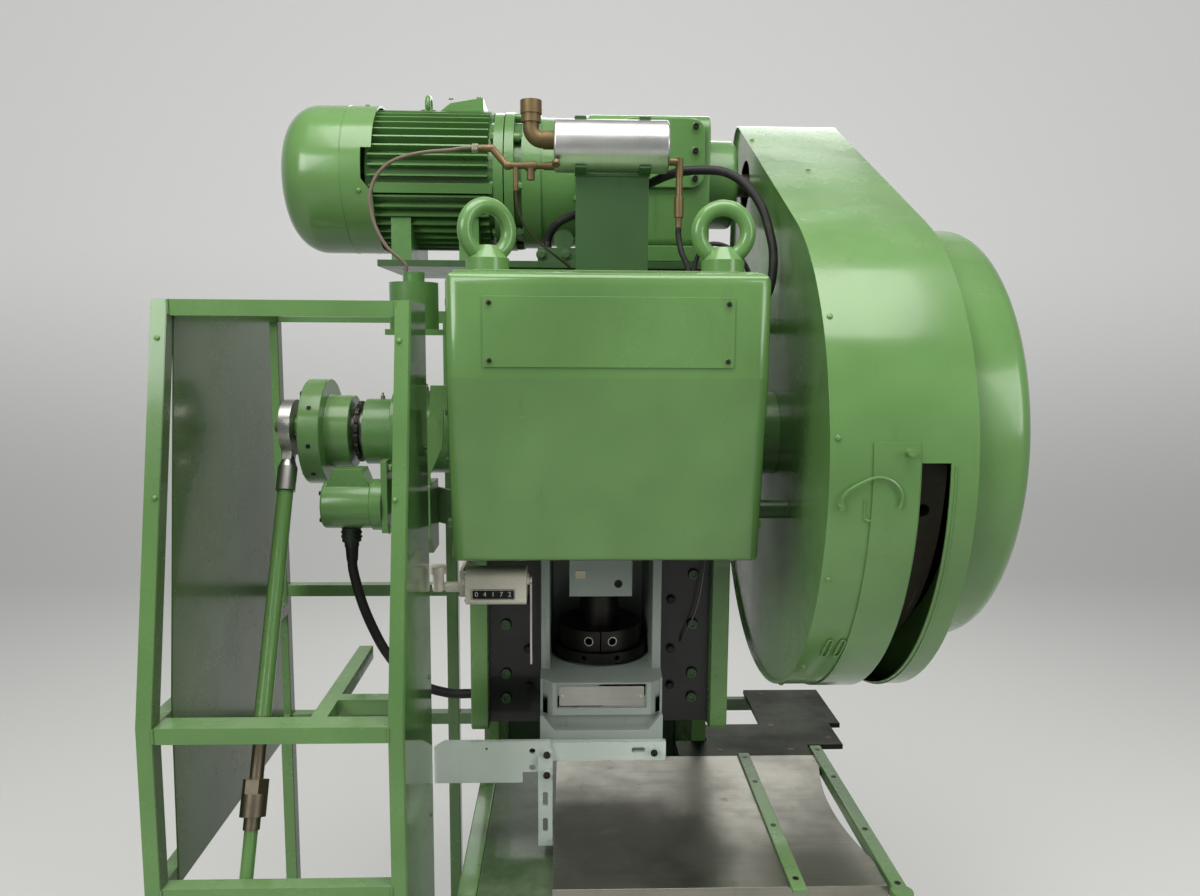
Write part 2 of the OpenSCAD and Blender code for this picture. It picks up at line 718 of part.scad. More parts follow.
// Belt guard, flywheel and clutch
slot_w = 53;
slot_x0 = guard_x1 - 51 - slot_w;
guard_outer = band(guard_c, guard_r, hood_c, hood_r, 80);
guard_inner = band(guard_c, guard_r - sheet_t, hood_c, hood_r - sheet_t, 80);
module ring_part(x0, x1, r0, r1, from, sweep) {
    translate([x0, guard_c[0], guard_c[1]]) rotate([0, 90, 0]) rotate([0, 0, from])
        rotate_extrude(angle = sweep, $fn = 128) translate([r0, 0]) square([r1 - r0, x1 - x0]);
}
guard_rim = 8;
slot_a = 266.7;
slot_turn = 81.5;
module belt_guard() {
    panel_x = guard_x + guard_rim;
    color(green)
    difference() {
        along_x(guard_x, guard_x1) polygon(guard_outer);
        along_x(guard_x - 1, panel_x) polygon(guard_inner);
        along_x(panel_x + sheet_t, guard_x1 - sheet_t) polygon(guard_inner);
        rod_x(guard_x - 1, panel_x + sheet_t + 1, 192, 0, crank_z);
        rod_x(guard_x - 1, panel_x + sheet_t + 1, 130, motor_y, motor_z);
        rod_x(guard_x1 - sheet_t - 1, guard_x1 + 1, 2 * clutch_cover_r - 60, 0, crank_z);
        ring_part(slot_x0, slot_x0 + slot_w, guard_r - 20, guard_r + 20, slot_a, slot_turn);
    }
}
module guard_spacers() {
    color(dark_green)
    for (p = [[-180, crown_z + 60], [250, crank_z + 250], [500, crank_z - 150]])
        rod_x(side_x, guard_x + guard_rim, 40, p[0], p[1]);
}
module clutch_cover() {
    color(green)
    translate([0, 0, crank_z]) rotate([0, 90, 0]) rotate_extrude($fn = 96) polygon(rounded([
        [0, guard_x1 + clutch_cover_w, 0], [clutch_cover_r, guard_x1 + clutch_cover_w, 35],
        [clutch_cover_r, guard_x1, 0], [clutch_cover_r - sheet_t, guard_x1, 0],
        [clutch_cover_r - sheet_t, guard_x1 + clutch_cover_w - sheet_t, 31],
        [0, guard_x1 + clutch_cover_w - sheet_t, 0]]));
}
strip_x = [slot_x0 - 88, slot_x0 - 4];
// A pin that stands out of the guard's round part, and a point near its surface
module radial_pin(x, a, r0, r1, d) {
    translate([x, guard_c[0], guard_c[1]]) rotate([a - 270, 0, 0]) rod_y(-r1, -r0, d);
}
function on_guard(x, a, r) = [x, guard_c[0] + r * sin(a), guard_c[1] - r * cos(a)];
module slot_cover() {
    color(green) {
        ring_part(strip_x[0], strip_x[1], guard_r + 0.4, guard_r + 3.4, slot_a - 3.9, slot_turn + 6);
        radial_pin((strip_x[0] + strip_x[1]) / 2 + 20, slot_a - 2, guard_r + 2, guard_r + 22, 14);
    }
}
catch_x = guard_x + 22;
catch_a = slot_a + 8.1;
catch_r = guard_r + 9;
catch_steps = [[0, 0], [3, -2.4], [28, -4.3], [62, -5.6], [92, -4.7], [108, -2.2], [104, 0.2]];
catch_route = [for (p = catch_steps) on_guard(catch_x + p[0], catch_a + p[1], catch_r)];
module cover_catch() {
    color(green) {
        tube_along(smooth(catch_route, 3), 5);
        radial_pin(catch_x, catch_a, guard_r + 0.3, catch_r + 3, 10);
    }
}
module groove_cuts(r, n) {
    for (i = [0:n - 1]) translate([r - belt_groove, belt_x + 2 + i * belt_pitch]) square([20, belt_w + 1]);
}
rim_t = 72;
module flywheel() {
    color(rust)
    difference() {
        translate([0, 0, crank_z]) rotate([0, 90, 0]) rotate_extrude($fn = 128) difference() {
            union() {
                translate([flywheel_r - rim_t, fly_x]) square([rim_t, flywheel_w]);
                translate([100, fly_x + flywheel_w / 2 - 20]) square([flywheel_r - rim_t - 90, 40]);
                translate([journal_d / 2 + run_gap, fly_x - 10])
                    square([120 - journal_d / 2, flywheel_w + 20]);
            }
            groove_cuts(flywheel_r, belt_n);
        }
        for (a = [0:30:330]) translate([0, 0, crank_z]) rotate([a + 12, 0, 0])
            rod_y(-flywheel_r - 1, -flywheel_r + 45, 25, slot_x0 + slot_w / 2, 0);
        for (a = [0:60:300]) translate([0, 0, crank_z]) rotate([a, 0, 0])
            rod_x(fly_x, fly_x1, 110, 255, 0);
    }
}
module clutch_drum() {
    color(steel)
    difference() {
        union() {
            rod_x(fly_x1 + 14, fly_x1 + 40, 560, 0, crank_z);
            rod_x(fly_x1 + 40, crank_end_x - 6, 440, 0, crank_z);
            for (a = [0:45:315]) translate([crank_end_x - 6, 0, crank_z]) rotate([a, 0, 0])
                rod_x(0, 10, 30, 160, 0);
        }
        rod_x(fly_x1 + 13, crank_end_x + 5, 100 + 2 * seat_gap, 0, crank_z);
    }
}
function belt_line(grow) =
    band([0, crank_z], flywheel_r + grow, [motor_y, motor_z], pulley_r + grow);
module drive_belts() {
    color(black)
    for (i = [0:belt_n - 1]) let (x = belt_x + 2.5 + i * belt_pitch)
        along_x(x, x + belt_w) difference() {
            polygon(belt_line(belt_t - belt_seat));
            polygon(belt_line(-belt_seat));
        }
}
module drive_pulley() {
    color(steel) {
        translate([0, motor_y, motor_z]) rotate([0, 90, 0]) rotate_extrude() difference() {
            translate([0, fly_x]) square([pulley_r, pulley_w]);
            groove_cuts(pulley_r, belt_n);
        }
        rod_x(gear_x + gear_w - 50, fly_x + 10, 60, motor_y, motor_z);
    }
}

// Crankshaft
web_r = 100;
module crankshaft() {
    half = pin_l / 2;
    color(steel) {
        rod_x(hub_x, -half - cheek_t, journal_d, 0, crank_z);
        rod_x(disc_x, hub_x, 90, 0, crank_z);
        for (x = [-half - cheek_t, half])
            rod_x(x, x + cheek_t, 2 * web_r + stroke / 2, 0, crank_z - 12);
        rod_x(-half, half, pin_d, 0, pin_z);
        rod_x(half + cheek_t, fly_x1 + 12, journal_d, 0, crank_z);
        rod_x(fly_x1 + 12, crank_end_x, 100, 0, crank_z);
    }
}

// Feed crank on the left end
feed_pin_a = 16;
feed_y = -feed_pin_r * cos(feed_pin_a);
feed_z = crank_z + feed_pin_r * sin(feed_pin_a);
module feed_crank() {
    color(green)
    difference() {
        union() {
            rod_x(disc_x, hub_x - 4, 166, 0, crank_z);
            rod_x(link_x, disc_x, feed_disc_d, 0, crank_z);
        }
        rod_x(disc_x - 20, hub_x + 1, 90 + 2 * seat_gap, 0, crank_z);
        translate([link_x - 1, 0, crank_z]) rotate([-feed_pin_a, 0, 0]) along_x(0, 15)
            square([180, 50], center = true);
    }
    color(steel) translate([link_x, feed_y, feed_z]) {
        rod_x(-17.6, 14, 60, 0, 0);
        rod_x(-45, 0, 30, 0, 0);
        rod_x(-52, -43.4, 46, 0, 0);
        translate([-52, 0, 0]) rotate([0, -90, 0]) cylinder(h = 14, d1 = 40, d2 = 22);
    }
}
teeth = 20;
module sprocket(r, x0, x1, bore) {
    difference() {
        along_x(x0, x1) difference() {
            circle(r);
            for (i = [0:teeth - 1]) rotate(360 * i / teeth) translate([r + 1, 0]) circle(5, $fn = 16);
        }
        rod_x(x0 - 1, x1 + 1, bore);
    }
}
module timing_sprocket() {
    color(black) translate([0, 0, crank_z]) {
        sprocket(70, slot_x - 18, slot_x - 10, journal_d + 2 * seat_gap);
    }
}

// Cam switch
switch_x = [disc_x + 2, slot_x + 53];
gland_x = switch_x[0] + 56;
module cam_switch() {
    color(green) {
        lathe_x(switch_y, switch_z) polygon(rounded([[0, switch_x[0], 0], [53, switch_x[0], 6],
            [53, switch_x[1] - 28, 0], [57, switch_x[1] - 25, 0], [57, switch_x[1], 0], [0, switch_x[1], 0]]));
        along_y(switch_y - 30, switch_y + 30) polygon([[switch_x[0] + 8, switch_z + 40],
            [switch_x[1] - 28, switch_z + 40], [switch_x[1] - 44, switch_z + 82],
            [switch_x[0] + 26, switch_z + 82]]);
    }
    color(black) {
        rod_z(switch_z - 84, switch_z - 51, 42, gland_x, switch_y);
        rod_z(switch_z - 96, switch_z - 84, 32, gland_x, switch_y);
    }
}
module switch_bracket() {
    x = switch_x[1];
    color(green) {
        along_x(x, x + 14) translate([switch_y, switch_z])
            polygon([[-48, -56], [78, -56], [78, 50], [44, 50], [-12, 104], [-48, 104]]);
        along_y(-30, -18) polygon([[x + 14, switch_z - 30], [-side_x, switch_z - 70],
            [-side_x, switch_z + 18], [-side_x - 34, switch_z + 20], [x + 14, switch_z + 52]]);
    }
}
cable_route = [[-559, -85, 1456.7], [-559, -85, 1445], [-559, -85, 1433], [-558, -85, 1405],
    [-549, -83, 1360], [-537, -80, 1315], [-519, -72, 1262], [-495, -60, 1205], [-460, -45, 1150],
    [-410, -32, 1108], [-360, -26, 1090], [-334, -25, 1087], [-317, -25, 1087], [-300.3, -25, 1087]];
module switch_cable() {
    color(black) tube_along(smooth(cable_route, 2), 22);
}

// Feed link, hung from the feed pin and leaning to the front
link_lean = 24.4;
link_t = 25;
link_mid_x = link_x - 18 - link_t / 2;
module leaning() {
    translate([link_mid_x, feed_y, feed_z]) rotate([-link_lean, 0, 0]) children();
}
module link_head() {
    color(steel) leaning() {
        difference() {
            union() {
                rod_x(-link_t / 2, link_t / 2, 124);
                block(-10, 10, -16, 16, -80, -40);
                translate([0, 0, -94]) cylinder(h = 30, d1 = 40, d2 = 20);
                rod_z(-148, -94, 42);
            }
            rod_x(-link_t / 2 - 1, link_t / 2 + 1, 30 + 2 * run_gap);
        }
    }
}
module feed_link() {
    color(green) leaning() {
        rod_z(-623, -148, link_d);
        rod_z(-1000, -836, 26);
    }
}
module link_coupling() {
    color(steel) leaning() {
        rod_z(-636, -623, link_d + 2);
        rod_z(-742, -636, 27);
        translate([0, 0, -769]) cylinder(h = 27, d = 52, $fn = 6);
        rod_z(-812, -769, 50);
        rod_z(-836, -812, 32);
    }
    color(steel) leaning() {
        difference() {
            union() {
                rod_z(-1012, -1000, 30);
                rod_x(-10, 10, 52, 0, -1032);
            }
            rod_x(-11, 11, 22, 0, -1032);
        }
    }
}

// Connecting rod, adjusting screw and its clamp
rod_foot = pin_z - 318;
rod_w = 143;
module connecting_rod() {
    color(grey)
    difference() {
        union() {
            rod_x(-rod_w / 2, rod_w / 2, pin_d + 110, 0, pin_z);
            block(-rod_w / 2, rod_w / 2, -85, 85, rod_foot, pin_z);
            for (y = [-1, 1]) block(-50, 50, y > 0 ? 60 : -118, y > 0 ? 118 : -60, pin_z - 25, pin_z + 25);
        }
        rod_x(-rod_w / 2 - 1, rod_w / 2 + 1, pin_d + 2 * run_gap, 0, pin_z);
        rod_z(rod_foot - 1, pin_z - pin_d / 2 - 20, screw_d + 2 * run_gap);
        rod_y(-86, -70, 16, 40, rod_foot + 30);
    }
}
ball_z = pin_z - 538;
clamp_z = pin_z - 445;
module adjusting_screw() {
    color(steel) {
        translate([0, 0, ball_z]) sphere(d = ball_d);
        rod_z(ball_z, ring_z - 2, screw_d - 4);
        rod_z(ring_z - 2, pin_z - pin_d / 2 - 25, screw_d);
    }
}
module clamp_ring() {
    color(steel)
    difference() {
        rod_z(clamp_z, clamp_z + clamp_h, clamp_d);
        rod_z(clamp_z - 1, clamp_z + clamp_h + 1, screw_d + 2 * seat_gap);
        block(-1.5, 1.5, -clamp_d, 0, clamp_z - 1, clamp_z + clamp_h + 1);
        for (x = [-1, 1]) rotate([0, 0, x * 16]) rod_y(-clamp_d / 2 - 1, -clamp_d / 2 + 26, 18, 0,
            clamp_z + clamp_h / 2);
    }
}

// Slide
wall_z = slide_z + 475;
socket_play = 11.5;
block_z = slide_z + slide_block;
socket_z = ball_z - ball_d / 2 - socket_play;
ring_h = 22;
ring_d = 220;
ring_z = clamp_z - 1 - ring_h;
seat_z = ring_z - socket_play - 1;
wall_y = 125;
module slide() {
    half = slide_w / 2;
    color(grey)
    difference() {
        union() {
            along_x(-half, half) polygon([[-slide_front, slide_z], [slide_rear, slide_z],
                [slide_rear, block_z], [-wall_y, block_z], [-slide_front, block_z - 10]]);
            for (s = [-1, 1]) mirror([s < 0 ? 1 : 0, 0, 0])
                along_y(-wall_y, slide_rear) polygon(rounded([[half, block_z - 1, 0], [half, wall_z, 0],
                    [half - slide_wall, wall_z, 0], [half - slide_wall, block_z, 0], [half - 40, block_z - 1, 0]]));
            block(-half + slide_wall - 1, half - slide_wall + 1, slide_rear - 18, slide_rear,
                  block_z - 1, wall_z);
            for (s = [-1, 1]) block(s > 0 ? half - 1 : -half - flange_w, s > 0 ? half + flange_w : -half + 1,
                flange_y, flange_y + flange_t, slide_z, wall_z);
        }
        translate([0, 0, seat_z]) cylinder(h = slide_block, d = ring_d + 8);
        block(-ring_d / 2 - 4, ring_d / 2 + 4, 0, 163, seat_z, block_z + 1);
        rod_z(socket_z, seat_z + 1, ball_d + 2);
        block(-ball_d / 2 - 1, ball_d / 2 + 1, 0, 56, socket_z, seat_z + 1);
        rod_z(socket_z, seat_z + 1, ball_d + 2, 0, 56);
        rod_z(slide_z - 1, slide_z + 25, shank_d);
        for (s = [-1, 1]) mirror([s < 0 ? 1 : 0, 0, 0]) translate([0, 0, slide_z + 102])
            linear_extrude(slide_block) polygon([[half + 1, -slide_front + 20], [half + 1, -slide_front - 1],
                [half - 27, -slide_front - 1], [half - 27, -slide_front], [half - 5, -slide_front + 20]]);
        along_y(-slide_front - 1, -slide_front + 22) polygon([[-half + 6, slide_z + 102],
            [half - 6, slide_z + 102], [half - 32, slide_z + 68], [-half + 32, slide_z + 68]]);
        along_y(-slide_front - 1, -slide_front + 4)
            polygon(box_outline(-98, 98, slide_z + 119, slide_z + 173, 3));
    }
}
module retaining_ring() {
    color(steel)
    difference() {
        rod_z(ring_z, ring_z + ring_h, ring_d);
        rod_z(ring_z - 1, ring_z + ring_h + 1, screw_d + 2 * seat_gap);
        for (a = [250, 290]) rotate([0, 0, a]) rod_x(ring_d / 2 - 14, ring_d / 2 + 1, 11, 0, ring_z + 11);
    }
}
module slide_plate() {
    color(bright) along_y(-slide_front + 1, -slide_front + 4)
        polygon(box_outline(-93, 93, slide_z + 124, slide_z + 168, 2));
}

// Bars hung on the slide's face
module big_screw(x, z, y) {
    rod_y(y - 3, y, 26, x, z);
    rod_y(y - 13, y - 3, 16, x, z);
}
module tool_bars() {
    y = -slide_front;
    color(grey)
    difference() {
        union() {
            block(-124, 141, y - 14, y, slide_z + 5, slide_z + 47);
            along_y(y - 24, y - 14) polygon([[-363, slide_z - 39], [-172, slide_z - 39],
                [-172, slide_z - 15], [-112, slide_z - 15], [-112, slide_z + 55], [-340, slide_z + 55],
                [-363, slide_z + 42]]);
            block(-table_left - 34, -table_left - 3, y - 34, y - 24, bed_z + 30, slide_z + 22);
        }
        for (p = [[-151, slide_z + 32], [-151, slide_z - 5], [-250, slide_z + 38]])
            rod_y(y - 25, y - 13, p[0] < -200 ? 6 : 14, p[0], p[1]);
        for (z = [bed_z + 60:60:slide_z - 80])
            along_y(y - 35, y - 23) polygon(box_outline(-table_left - 24, -table_left - 13, z, z + 34, 4));
        along_y(y - 15, y + 1) polygon(box_outline(66, 96, slide_z + 22, slide_z + 34, 5));
    }
    color(bright) {
        big_screw(-119, slide_z + 30, y - 24);
        big_screw(-119, slide_z - 11, y - 34);
        big_screw(114, slide_z + 28, y - 14);
    }
}

// Stroke counter
counter_z = crown_z - 100;
counter_x = [10 - side_x, 138 - side_x];
module stroke_counter() {
    color(bright) {
        difference() {
            along_x(counter_x[0], counter_x[1]) polygon(box_outline(-232, -172, counter_z - 38, counter_z + 38, 16));
            along_y(-233, -229) polygon(box_outline(-275, -188, counter_z - 22, counter_z - 4, 2));
        }
        rod_x(counter_x[1], counter_x[1] + 6, 26, -202, counter_z + 14);
        rod_x(counter_x[0] - 14, counter_x[0], 32, -202, counter_z - 4);
        rod_x(counter_x[0] - 44, counter_x[0] - 14, 22, -202, counter_z - 4);
        rod_x(counter_x[0] - 72, counter_x[0] - 44, 14, -202, counter_z - 4);
        rod_z(counter_z - 12, counter_z + 26, 24, counter_x[0] - 60, -202);
        rod_z(counter_z + 26, counter_z + 42, 36, counter_x[0] - 60, -202);
        along_z_bracket();
    }
}
module along_z_bracket() {
    translate([0, 0, counter_z - 28]) linear_extrude(56) polygon([
        [-side_x - 6, 50 - guide_y], [-side_x, 50 - guide_y], [-side_x, -190], [counter_x[0] + 1, -190],
        [counter_x[0] + 1, -196], [-side_x - 6, -196]]);
}
lever_route = [[-8, 0], [8, 0], [9, -60], [2, -110], [5, -150], [9, -186], [-2, -190], [-7, -150],
    [-11, -110], [-6, -60]];
module counter_lever() {
    x = counter_x[1] + 6.3;
    color(bright) {
        rod_x(x, x + 5, 26, -202, counter_z + 14);
        translate([0, -202, counter_z + 14]) along_x(x, x + 5) polygon(lever_route);
    }
}

// Oil pot and side box
module oil_pot() {
    x = -side_x - 108;
    z = frame_h - 115;
    color(green) {
        block(-side_x - 160, -side_x, -160, -40, z - 12, z);
        rod_z(z, z + 100, 104, x, -100);
        rod_z(z + 100, z + 122, 46, x, -100);
        block(-side_x - 12, -side_x, -160, -40, z - 70, z - 12);
    }
}
box_x = [-side_x - 126, -side_x - 71];
module side_box() {
    low = crank_z - 258;
    color(green) {
        along_x(box_x[0], box_x[1]) polygon(rounded([[-160, low + 40, 0], [-120, low, 0], [-40, low, 4],
            [-40, low + 156, 4], [-160, low + 156, 4]]));
        along_y(-155, -149) polygon([[-side_x, low + 320], [-side_x, low + 372], [-side_x - 68, low + 372],
            [-side_x - 74, low + 250], [box_x[0] + 6, low + 180], [box_x[0] + 6, low + 150],
            [box_x[1], low + 150], [box_x[1], low + 180], [-side_x - 44, low + 240], [-side_x - 40, low + 320]]);
    }
}

// Side guard of welded tube, its front leaning out down to the middle bar
sg_x0 = -side_x - 65 - side_guard_w;
sg_x1 = -side_x - 65;
sg_y0 = -530;
sg_y1 = sg_y0 + side_guard_d;
sg_top_y = sg_y0 + 147;
sg_mid = 1200;
sg_low = 895;
sg_gap = 50;
sg_sheet_y = sg_y0 + 305;
panel_back = sg_y1 - 100;
function front_line(dy, z1) = [[sg_y0 + dy, 6], [sg_y0 + dy, sg_mid + tube], [sg_top_y + dy, z1]];
module front_post(x) {
    along_x(x, x + tube) polygon(concat(front_line(0, side_guard_h), [
        [sg_top_y + tube, side_guard_h], [sg_y0 + tube, sg_mid + tube], [sg_y0 + tube, 6]]));
}
module side_sheet(x, t, front, back, z0) {
    along_x(x, x + t) polygon(concat(front, [[back, side_guard_h - 4], [back, z0]]));
}
module side_guard() {
    color(green) {
        for (x = [sg_x0, sg_x1 - tube]) {
            front_post(x);
            block(x, x + tube, sg_y1 - tube, sg_y1, 6, side_guard_h);
            for (y = [sg_y0, sg_y1 - tube]) block(x - 16, x + tube + 3, y - 20, y + tube + 20, 0, 6);
        }
        top = side_guard_h - tube;
        block(sg_x0 + tube - 1, sg_x1 - tube + 1, sg_top_y, sg_top_y + tube, top, side_guard_h);
        block(sg_x0 + tube - 1, sg_x1 - tube + 1, sg_y0, sg_y0 + 48, sg_mid, sg_mid + tube);
        block(sg_x0 + tube - 1, sg_x1 - tube + 1, sg_y0, sg_y0 + tube, sg_low, sg_low + tube);
        block(sg_x0, sg_x0 + tube, sg_top_y + tube - 1, sg_y1 - tube + 1, top, side_guard_h);
        block(sg_x1 - tube, sg_x1, sg_top_y + tube - 1, sg_sheet_y, top, side_guard_h);
        for (z = [sg_mid, sg_low])
            block(sg_x0, sg_x0 + tube, sg_y0 + tube - 1, sg_y1 - tube + 1, z, z + tube);
        block(sg_x1 - tube, sg_x1, sg_y0 + tube - 1, sg_sheet_y, sg_mid, sg_mid + tube);
        block(sg_x1 - tube, sg_x1, sg_y0 + tube - 1, sg_sheet_y, sg_low, sg_low + tube);
        for (z = [top, sg_mid + 48, sg_low]) {
            block(sg_x0 + tube - 1, sg_x1 - tube + 1, sg_y1 - tube, sg_y1, z, z + tube);
            block(sg_x1 - 1, -side_x, sg_y1 - tube, sg_y1, z, z + tube);
        }
        block(sg_x1 - 180, sg_x1 - 150, sg_y0 + 40, -95, sg_mid, sg_mid + tube);
        block(sg_x1 - 151, sg_x1 - tube + 1, -405, -375, sg_mid, sg_mid + tube);
        side_sheet(sg_x0 + tube - 1, 3, [[sg_y0 + sg_gap + 20, sg_low - 5], [sg_y0 + sg_gap + 30, sg_mid + 50],
            [sg_top_y + tube - 6, side_guard_h - 4]], panel_back, sg_low - 5);
        side_sheet(sg_x1 - 3, 3, front_line(tube - 2, side_guard_h - 4), sg_sheet_y, 60);
    }
}

base_plate();
side_plate_left();
side_plate_right();
crown_box();
bed_box();
bearing_housing_left();
bearing_housing_right();
crank_bushes();
slide_gibs();
front_cover();
name_plate();
lifting_eyes();
table_plate();
table_rails();
rear_plate();
table_bracket();
motor_frame();
fan_cowl();
cooling_fan();
terminal_box();
motor_flange();
gear_housing();
gear_cover();
motor_base();
air_tank();
tank_bracket();
air_fittings();
signal_tube();
motor_conduit();
tank_hose();
belt_guard();
guard_spacers();
clutch_cover();
slot_cover();
cover_catch();
flywheel();
clutch_drum();
drive_belts();
drive_pulley();
crankshaft();
feed_crank();
timing_sprocket();
cam_switch();
switch_bracket();
switch_cable();
link_head();
feed_link();
link_coupling();
connecting_rod();
adjusting_screw();
clamp_ring();
slide();
retaining_ring();
slide_plate();
tool_bars();
stroke_counter();
counter_lever();
oil_pot();
side_box();
side_guard();
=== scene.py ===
"""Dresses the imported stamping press: paints, metals, fasteners, hoses, lights and the camera."""
import json
import math

import bmesh
import bpy
import numpy as np
from mathutils import Matrix, Vector


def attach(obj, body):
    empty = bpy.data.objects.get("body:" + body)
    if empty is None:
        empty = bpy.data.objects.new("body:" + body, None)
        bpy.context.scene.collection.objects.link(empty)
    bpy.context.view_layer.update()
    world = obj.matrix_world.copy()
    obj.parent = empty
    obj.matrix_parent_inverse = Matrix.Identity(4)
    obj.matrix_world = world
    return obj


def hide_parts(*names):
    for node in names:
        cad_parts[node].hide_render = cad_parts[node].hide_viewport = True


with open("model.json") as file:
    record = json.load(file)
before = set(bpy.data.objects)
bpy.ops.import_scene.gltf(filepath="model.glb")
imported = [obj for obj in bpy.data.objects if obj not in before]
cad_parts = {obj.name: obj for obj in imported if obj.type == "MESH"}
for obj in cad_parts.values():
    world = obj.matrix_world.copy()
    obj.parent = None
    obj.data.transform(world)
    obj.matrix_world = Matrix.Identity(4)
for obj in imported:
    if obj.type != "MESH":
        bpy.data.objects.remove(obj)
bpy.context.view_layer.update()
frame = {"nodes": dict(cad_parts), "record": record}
NODES = frame["nodes"]
BODY = {n: b for b, ns in frame["record"]["behaviour"]["bodies"].items() for n in ns}

# The press's own places, in millimetres
CRANK_HEIGHT = 1708
MOTOR_AXIS = (400, 2335)
PLATE_FACE = 300
CROWN_TOP = 2055
PLATE_FRONT = -436
GUARD_AXIS = (36, 1674)
GUARD_RADIUS = 550
TABLE_TOP = 840
RAIL_TOP = 848
COUNTER_MIDDLE = 1387

# Camera
CAMERA_AT = (-0.07, -2.08, 1.92)
CAMERA_YAW = 1.9
CAMERA_PITCH = -6.84
CAMERA_ROLL = 0.37
LENS = 27
SENSOR = 36


def make_camera():
    """The photograph's view: forward is +Y turned right by the yaw and down by the pitch."""
    yaw = math.radians(CAMERA_YAW)
    pitch = math.radians(CAMERA_PITCH)
    roll = math.radians(CAMERA_ROLL)
    ahead = Vector((math.sin(yaw) * math.cos(pitch), math.cos(yaw) * math.cos(pitch), math.sin(pitch)))
    level = Vector((math.cos(yaw), -math.sin(yaw), 0))
    upright = level.cross(ahead)
    right = level * math.cos(roll) + upright * math.sin(roll)
    up = upright * math.cos(roll) - level * math.sin(roll)
    data = bpy.data.cameras.new("camera")
    data.lens = LENS
    data.sensor_width = SENSOR
    data.clip_start = 0.05
    data.clip_end = 60
    camera = bpy.data.objects.new("camera", data)
    camera.matrix_world = Matrix((
        (right.x, up.x, -ahead.x, CAMERA_AT[0]),
        (right.y, up.y, -ahead.y, CAMERA_AT[1]),
        (right.z, up.z, -ahead.z, CAMERA_AT[2]),
        (0, 0, 0, 1)))
    bpy.context.scene.collection.objects.link(camera)
    bpy.context.scene.camera = camera


make_camera()


# Colours
def srgb(r, g, b):
    """A colour read as 0 to 255 screen values, turned to linear light."""
    def line(v):
        v = v / 255
        return v / 12.92 if v <= 0.04045 else ((v + 0.055) / 1.055) ** 2.4
    return (line(r), line(g), line(b), 1.0)


# Shaders
class Value:
    """One socket of a material. Sums and products of values add Math nodes."""

    def __init__(self, shade, socket):
        self.shade = shade
        self.socket = socket

    def _math(self, operation, *terms):
        return self.shade.node("Math", {"operation": operation}, *terms)

    def __add__(self, other):
        return self._math("ADD", self, other)

    __radd__ = __add__

    def __sub__(self, other):
        return self._math("SUBTRACT", self, other)

    def __rsub__(self, other):
        return self._math("SUBTRACT", other, self)

    def __mul__(self, other):
        return self._math("MULTIPLY", self, other)

    __rmul__ = __mul__

    def __gt__(self, other):
        return self._math("GREATER_THAN", self, other)

    def __lt__(self, other):
        return self._math("LESS_THAN", self, other)

    def above(self, low, high):
        """0 at or under low, 1 at or over high, and a smooth step between."""
        step = {"interpolation_type": "SMOOTHSTEP"}
        return self.shade.node("MapRange", step, self, low, high, 0.0, 1.0)

    def limit(self):
        """The value kept between 0 and 1."""
        return self.shade.node("Clamp", {}, self, 0.0, 1.0)


class Shade:
    """A material under construction, with a Principled shader at its end."""

    def __init__(self, name, **fixed):
        self.material = bpy.data.materials.new(name)
        self.material.use_nodes = True
        self.tree = self.material.node_tree
        self.shader = self.tree.nodes["Principled BSDF"]
        self.place = self.node("TexCoord", {}, out="Object")
        self.set(**fixed)

    def node(self, kind, settings, *inputs, out=0, **named):
        """Adds one node: its settings first, then its inputs in order or by name."""
        made = self.tree.nodes.new("ShaderNode" + kind)
        for key, value in settings.items():
            setattr(made, key, value)
        pairs = [(made.inputs[i], v) for i, v in enumerate(inputs)]
        pairs += [(made.inputs[k], v) for k, v in named.items()]
        for socket, value in pairs:
            self.put(socket, value)
        return Value(self, made.outputs[out])

    def put(self, socket, value):
        """Links a value to a socket, or writes a number or colour into it."""
        if isinstance(value, Value):
            self.tree.links.new(value.socket, socket)
        elif value is not None:
            socket.default_value = value

    def set(self, **sockets):
        """Fills the shader's sockets by name."""
        for name, value in sockets.items():
            self.put(self.shader.inputs[name.replace("_", " ")], value)

    def stretched(self, x, y, z, turn=(0, 0, 0)):
        """The place, turned and then scaled along each axis."""
        return self.node("Mapping", {}, self.place, (0, 0, 0), turn, (x, y, z))

    def noise(self, scale, detail=2.0, rough=0.55, at=None):
        """Cloudy noise at the place, or at a stretched one."""
        return self.node("TexNoise", {}, Vector=at or self.place, Scale=scale, Detail=detail, Roughness=rough)

    def mix(self, share, first, second):
        """A colour mixed from two by a share between 0 and 1."""
        made = self.tree.nodes.new("ShaderNodeMix")
        made.data_type = "RGBA"
        self.put(made.inputs[0], share)
        self.put(made.inputs[6], first)
        self.put(made.inputs[7], second)
        return Value(self, made.outputs[2])

    def bump(self, height, strength, distance, under=None):
        """A normal raised by a height, on top of an earlier one."""
        return self.node("Bump", {}, Strength=strength, Distance=distance, Height=height, Normal=under)

    def edges(self, radius):
        """1 on sharp edges and 0 on flats, from how far a rounded normal turns away."""
        rounded = self.node("Bevel", {"samples": 4}, radius)
        flat = self.node("NewGeometry", {}, out="Normal")
        dot = self.node("VectorMath", {"operation": "DOT_PRODUCT"}, rounded, flat, out="Value")
        return (1.0 - dot).above(0.01, 0.2)

    def upward(self):
        """How far a face looks up: 1 on top, 0 on walls."""
        normal = self.node("NewGeometry", {}, out="Normal")
        return self.node("SeparateXYZ", {}, normal, out="Z")


DUST = srgb(160, 160, 140)
BARE_IRON = srgb(84, 74, 62)
RUST_BLOOM = srgb(88, 52, 30)


def darker(colour, share):
    """The same colour at a share of its light."""
    return tuple(c * share for c in colour[:3]) + (1,)


